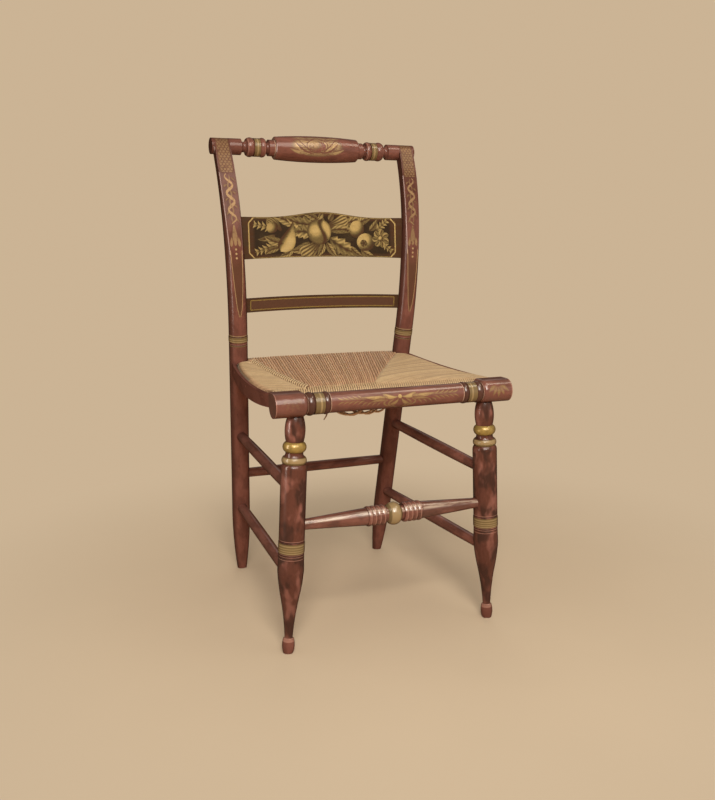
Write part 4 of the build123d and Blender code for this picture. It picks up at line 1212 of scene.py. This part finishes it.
def weave_side(name, side, seam, rail_ends, body, pitch, rush):
    """A side field: it fans out from its seam, given as (share, x, y), to the side rail, given as
    (share, y). The next strand is laid where it is about a pitch from the last."""
    enough, share_step = pitch * 0.96, 0.0005
    # a strand's radii: the least at both ends, and the most at the seam and at the rail
    least, most_at_seam, most_at_rail = 1.2, 3.2, 2.4
    strands, last, t = [], None, 0.0
    while t <= 1.0:
        start, (end,) = along_line(seam, t), along_line(rail_ends, t)
        gap, apart = (math.dist(start, last[0]), abs(end - last[1])) if last else (pitch, pitch)
        if (gap + apart) / 2 >= enough:
            spread = max(least, min(most_at_seam, gap * 0.46)) if last else pitch * 0.5
            close = max(least, min(most_at_rail, apart * 0.51)) if last else pitch * 0.5
            rail = body.side_rail(side, end)
            run = Vector((rail.x - start[0], rail.y - start[1]))
            square = abs(run.x) / run.length
            thick = max(1.3, spread * (0.55 + 0.45 * square))
            points, radii, ways = body.over(
                start, rail, near(thick, 0.05), near(close, 0.05), back_under=0.85)
            base = 0.05 + 0.1 * random.random()
            # past the rail, down the seat's outer side, the strands turn reddish: painted shade
            reds = [base + 0.5 * smooth(abs(place.x) - abs(rail.x), 0.0, 7.0) for place in points]
            tone = random.random() ** 1.7 + (0.14 if side > 0 else 0.0)
            strands.append((points, radii, ways, tone, reds))
            last = (start, end)
        t += share_step
    weave(f"rush_{name}", strands, rush)


def weave_front(body, rush):
    """The front edge: short strands over the front rail."""
    half, step, lean, seam_y, rail_y, rail_height = 198.0, 3.9, 3.4, -156.0, -170.2, 420.6
    strands, x = [], -half
    while x <= half:
        rail = Vector((x, rail_y, rail_height))
        laid = body.over((x + lean, seam_y), rail, 1.55, near(1.7, 0.05), back_under=-1.2, dip=1.2)
        strands.append((*laid, random.random() * 0.4, 0.05 + 0.25 * random.random()))
        x += step
    weave("rush_front", strands, rush)


def weave_ends(body, rush):
    """Hooked ends along the left seam, and loose ends below the front rail."""
    up, strands, hooks = Vector((0, 0, 1)), [], 60
    for i in range(hooks):
        x, y = along_line([(0.0, -151.5, 114.0), (1.0, -140.5, -166.0)], (i + 0.5) / hooks)
        path = [Vector((x + dx, y + dy, body.top(x + dx, y + dy) - sink)) for dx, dy, sink in (
            (9, 12, 2.0), (6, 7.5, -0.2), (2, 2, -0.4), (-2, -3.5, 0.0), (-4, -8, 2.4))]
        # every other hook is a thin dark strand that faces into the seat: a painted shadow between the pale
        # hooked ends
        if i % 2:
            strands.append((path, [0.7, 0.9, 0.9, 0.8, 0.6], [-up] * 5, 1.0, 0.3))
        else:
            strands.append((path, [1.1, 1.8, 2.0, 1.8, 1.0], [up] * 5, 0.0, 0.1 * random.random()))
    forward = Vector((-0.3, -0.8, -0.5)).normalized()
    # five strands that sag from the weave, each with where it starts, how far it reaches and how low
    front = -158
    for x, reach, low in (
            (-100, 62, 384), (-88, 50, 383), (-72, 56, 384.5), (-56, 44, 383), (-34, 36, 385)):
        level = body.under(x, front) + 2
        path = [Vector((x + reach * u, front - 8 * u,
                        level + (low - level) * math.sin(math.pi * (0.12 + 0.7 * u))))
                for u in (0.0, 0.15, 0.3, 0.45, 0.6, 0.75, 0.9, 1.0)]
        strands.append((path, [1.9, 2.1, 2.1, 2.1, 1.9, 1.7, 1.4, 1.0], [forward] * 8, 0.4, 1.0))
    straw = [Vector(spot) for spot in (
        (-102, front, 397), (-104, -161, 391), (-107, -164, 385), (-112, -166, 379.5))]
    strands.append((straw, [1.3, 1.3, 1.2, 0.8], [forward] * 4, 0.4, 1.0))
    weave("rush_ends", strands, rush)


def lay_padding():
    """The stuffing that the strands lie on: the seat's own form, a little smaller."""
    sunk, same_spot = 0.0027, 0.00002
    stuffing, shade, shader = new_material("rush_stuffing")
    chaff = shade.noise(shade.coordinates(), 300.0, 4.0, 0.6)
    tone = shade.layers((0.15, 0.085, 0.04), (chaff, 0.35, 0.7, 0.0, 1.0, (0.25, 0.15, 0.07)))
    shade.fill(shader, {"Base Color": tone, "Roughness": 0.85})
    bm = bmesh.new()
    bm.from_mesh(NODES["rush_seat"].data)
    bmesh.ops.remove_doubles(bm, verts=bm.verts, dist=same_spot)
    bm.normal_update()
    for vert in bm.verts:
        vert.co -= vert.normal * sunk
    stand_for_seat(made_object("rush_padding", bm, stuffing))


# for each side field: its side, the ends of its strands along the seam, and those along the side rail
SIDE_FIELDS = {
    "left": (-1, [(0.0, -152.0, 119.0), (0.82, -140.0, -170.0), (1.0, -196.0, -172.0)],
             [(0.0, 119.0), (0.22, 104.0), (0.45, 20.0), (0.65, -52.0), (0.8, -112.0), (1.0, -172.0)]),
    "right": (1, [(0.0, 150.0, 119.0), (0.62, -27.0, -170.0), (1.0, 196.0, -172.0)],
              [(0.0, 119.0), (0.22, 112.0), (0.45, 12.0), (0.52, -26.0), (0.62, -72.0), (0.8, -130.0),
               (1.0, -172.0)]),
}


class CHAIR_OT_rush(bpy.types.Operator):
    """Weave the rush seat strand by strand over its padding"""

    bl_idname = "chair.rush"
    bl_label = "Rush seat"

    def execute(self, context):
        settings = context.scene.chair_rush
        random.seed(settings.seed)
        body = RushBody()
        rush = rush_material()
        pitch = settings.pitch / MM
        weave_middle(body, pitch, rush)
        for name, (side, seam, rail_ends) in SIDE_FIELDS.items():
            weave_side(name, side, seam, rail_ends, body, pitch, rush)
        weave_front(body, rush)
        weave_ends(body, rush)
        lay_padding()
        return {"FINISHED"}


# ---------------------------------------------------------------- stage

WHITE, WARM, AMBER = (1.0, 0.98, 0.95), (1.0, 0.96, 0.84), (1.0, 0.92, 0.74)
CHAIR_MIDDLE, CREST_MIDDLE = (0, 0, 0.4), (0.07, 0.21, 0.84)
CAMERA_PLACE, CAMERA_AIM = Vector((-0.6289, -1.5453, 0.6820)), Vector((0.0046, -0.0295, 0.3811))
CAMERA_ROLL, LENS = math.radians(0.10), 41.32


def lay_backdrop(paper):
    """A floor that turns up into a wall, behind the chair, in one wide bend."""
    half, wall, bend = 9.0, 12.0, 5.0
    material, shade, shader = new_material("parchment_backdrop")
    place = shade.coordinates()
    darker = [c * 0.9 for c in paper]
    shade.fill(shader, {
        "Base Color": shade.layers(paper, (shade.noise(place, 3.0), 0.3, 0.7, 0.0, 0.25, darker)),
        "Roughness": 0.9, "Specular IOR Level": 0.1})
    # away from the chair's shadow the camera sees the paper's even colour
    away = shade.vector("LENGTH", shade.vector("SUBTRACT", place, (0.08, 0.0, 0.0)))
    seen = shade.node("LightPath").outputs["Is Camera Ray"]
    glow = shade.node("Emission", {"Color": paper, "Strength": 1.0}).outputs[0]
    both = shade.node("MixShader", {
        0: shade.times(shade.ramp(away, 0.30, 1.05), seen), 1: shader.outputs[0], 2: glow}).outputs[0]
    shade.fill(shade.own("OUTPUT_MATERIAL"), {"Surface": both})
    bm = bmesh.new()
    bmesh.ops.create_grid(bm, x_segments=1, y_segments=1, size=half)
    back = max(bm.edges, key=lambda e: sum(v.co.y for v in e.verts))
    raised = bmesh.ops.extrude_edge_only(bm, edges=[back])["geom"]
    edge = [g for g in raised if isinstance(g, bmesh.types.BMVert)]
    bmesh.ops.translate(bm, vec=(0, 0, wall), verts=edge)
    bmesh.ops.bevel(bm, geom=[back], offset=bend, segments=24, profile=0.5, affect="EDGES", material=-1)
    for face in bm.faces:
        face.smooth = True
    made_object("backdrop", bm, material)


def light_world(paper, strength):
    """Even light all round. The camera and reflections see the paper's colour instead."""
    world = bpy.data.worlds.new("even_studio_light")
    world.use_nodes = True
    shade = Shade(world.node_tree)
    ambient = shade.fill(shade.own("BACKGROUND"), {"Color": (1.0, 0.985, 0.96), "Strength": strength})
    beyond = shade.node("Background", {"Color": paper, "Strength": 1.0})
    rays = shade.node("LightPath").outputs
    seen = shade.math("MAXIMUM", rays["Is Camera Ray"], rays["Is Glossy Ray"])
    both = shade.node("MixShader", {0: seen, 1: ambient.outputs[0], 2: beyond.outputs[0]})
    shade.fill(shade.own("OUTPUT_WORLD"), {"Surface": both.outputs[0]})
    bpy.context.scene.world = world


def area(name, energy, size, position, aim, tint, gloss_only=False):
    """A soft rectangular light that looks at its aim."""
    data = bpy.data.lights.new(name, "AREA")
    data.energy = energy
    data.shape = "RECTANGLE"
    data.size, data.size_y = size
    data.color = tint
    lamp = bpy.data.objects.new(name, data)
    lamp.visible_diffuse = not gloss_only
    lamp.location = position
    lamp.rotation_euler = (Vector(aim) - Vector(position)).to_track_quat("-Z", "Y").to_euler()
    bpy.context.scene.collection.objects.link(lamp)


def set_camera(position, target, roll, lens):
    """A camera that looks at its target, rolled by this angle."""
    data = bpy.data.cameras.new("camera")
    data.sensor_width = 36.0
    data.lens = lens
    data.clip_end = 60.0
    camera = bpy.data.objects.new("camera", data)
    forward = (target - position).normalized()
    right = forward.cross(Vector((0, 0, 1))).normalized()
    up = right.cross(forward)
    across = right * math.cos(roll) + up * math.sin(roll)
    above = up * math.cos(roll) - right * math.sin(roll)
    turned = Matrix((across, above, -forward)).transposed().to_4x4()
    camera.matrix_world = Matrix.Translation(position) @ turned
    bpy.context.scene.collection.objects.link(camera)
    bpy.context.scene.camera = camera


class CHAIR_OT_stage(bpy.types.Operator):
    """Set the floor, the backdrop, the lights and the camera"""

    bl_idname = "chair.stage"
    bl_label = "Stage"

    def execute(self, context):
        settings = context.scene.chair_stage
        key = settings.key
        lay_backdrop(settings.paper)
        light_world(settings.paper, settings.ambient)
        area("key_light", key, (1.3, 1.3), (-0.9, -2.9, 2.4), CHAIR_MIDDLE, WHITE)
        area("fill_light", key * 0.10, (2.0, 2.0), (2.2, -2.4, 1.2), CHAIR_MIDDLE, (1.0, 0.97, 0.93))
        area("back_light", key * 0.16, (2.0, 2.0), (1.4, 3.0, 2.2), CHAIR_MIDDLE, WHITE)
        # three soft boxes that only show as reflections in the varnish
        for name, share, size, position, aim, tint in (
                ("top_reflector", 1.5, (2.7, 1.9), (-0.35, -2.0, 2.3), (0, -0.1, 0.4), WARM),
                ("right_reflector", 0.09, (0.5, 0.5), (0.84, -0.50, 1.95), CREST_MIDDLE, AMBER),
                ("side_reflector", 0.34, (0.35, 1.5), (-1.5, -0.2, 0.78), (0, 0, 0.5), (1.0, 0.94, 0.84))):
            area(name, settings.sheen * share, size, position, aim, tint, gloss_only=True)
        set_camera(CAMERA_PLACE, CAMERA_AIM, CAMERA_ROLL, LENS)
        context.scene.view_settings.view_transform = "Standard"
        return {"FINISHED"}


# ---------------------------------------------------------------- add-on

PIECES = (CHAIR_OT_paint, CHAIR_OT_bare_wood, CHAIR_OT_wide_slat, CHAIR_OT_narrow_slat, CHAIR_OT_posts,
          CHAIR_OT_roll, CHAIR_OT_crest, CHAIR_OT_rush, CHAIR_OT_stage)


class CHAIR_PT_panel(bpy.types.Panel):
    """The chair's settings and the steps that build its looks"""

    bl_label = "Side Chair"
    bl_idname = "CHAIR_PT_panel"
    bl_space_type = "VIEW_3D"
    bl_region_type = "UI"
    bl_category = "Side Chair"

    def draw(self, context):
        for settings in (context.scene.chair_paint, context.scene.chair_rush, context.scene.chair_stage):
            box = self.layout.box()
            for key in settings.__annotations__:
                box.prop(settings, key)
        for piece in PIECES:
            self.layout.operator(piece.bl_idname)


CLASSES = (PaintSettings, RushSettings, StageSettings, *PIECES, CHAIR_PT_panel)


def register():
    for cls in CLASSES:
        bpy.utils.register_class(cls)
    bpy.types.Scene.chair_paint = PointerProperty(type=PaintSettings)
    bpy.types.Scene.chair_rush = PointerProperty(type=RushSettings)
    bpy.types.Scene.chair_stage = PointerProperty(type=StageSettings)


def unregister():
    del bpy.types.Scene.chair_stage
    del bpy.types.Scene.chair_rush
    del bpy.types.Scene.chair_paint
    for cls in reversed(CLASSES):
        bpy.utils.unregister_class(cls)


def main():
    register()
    for piece in PIECES:
        group, name = piece.bl_idname.split(".")
        getattr(getattr(bpy.ops, group), name)()


if __name__ == "__main__":
    main()
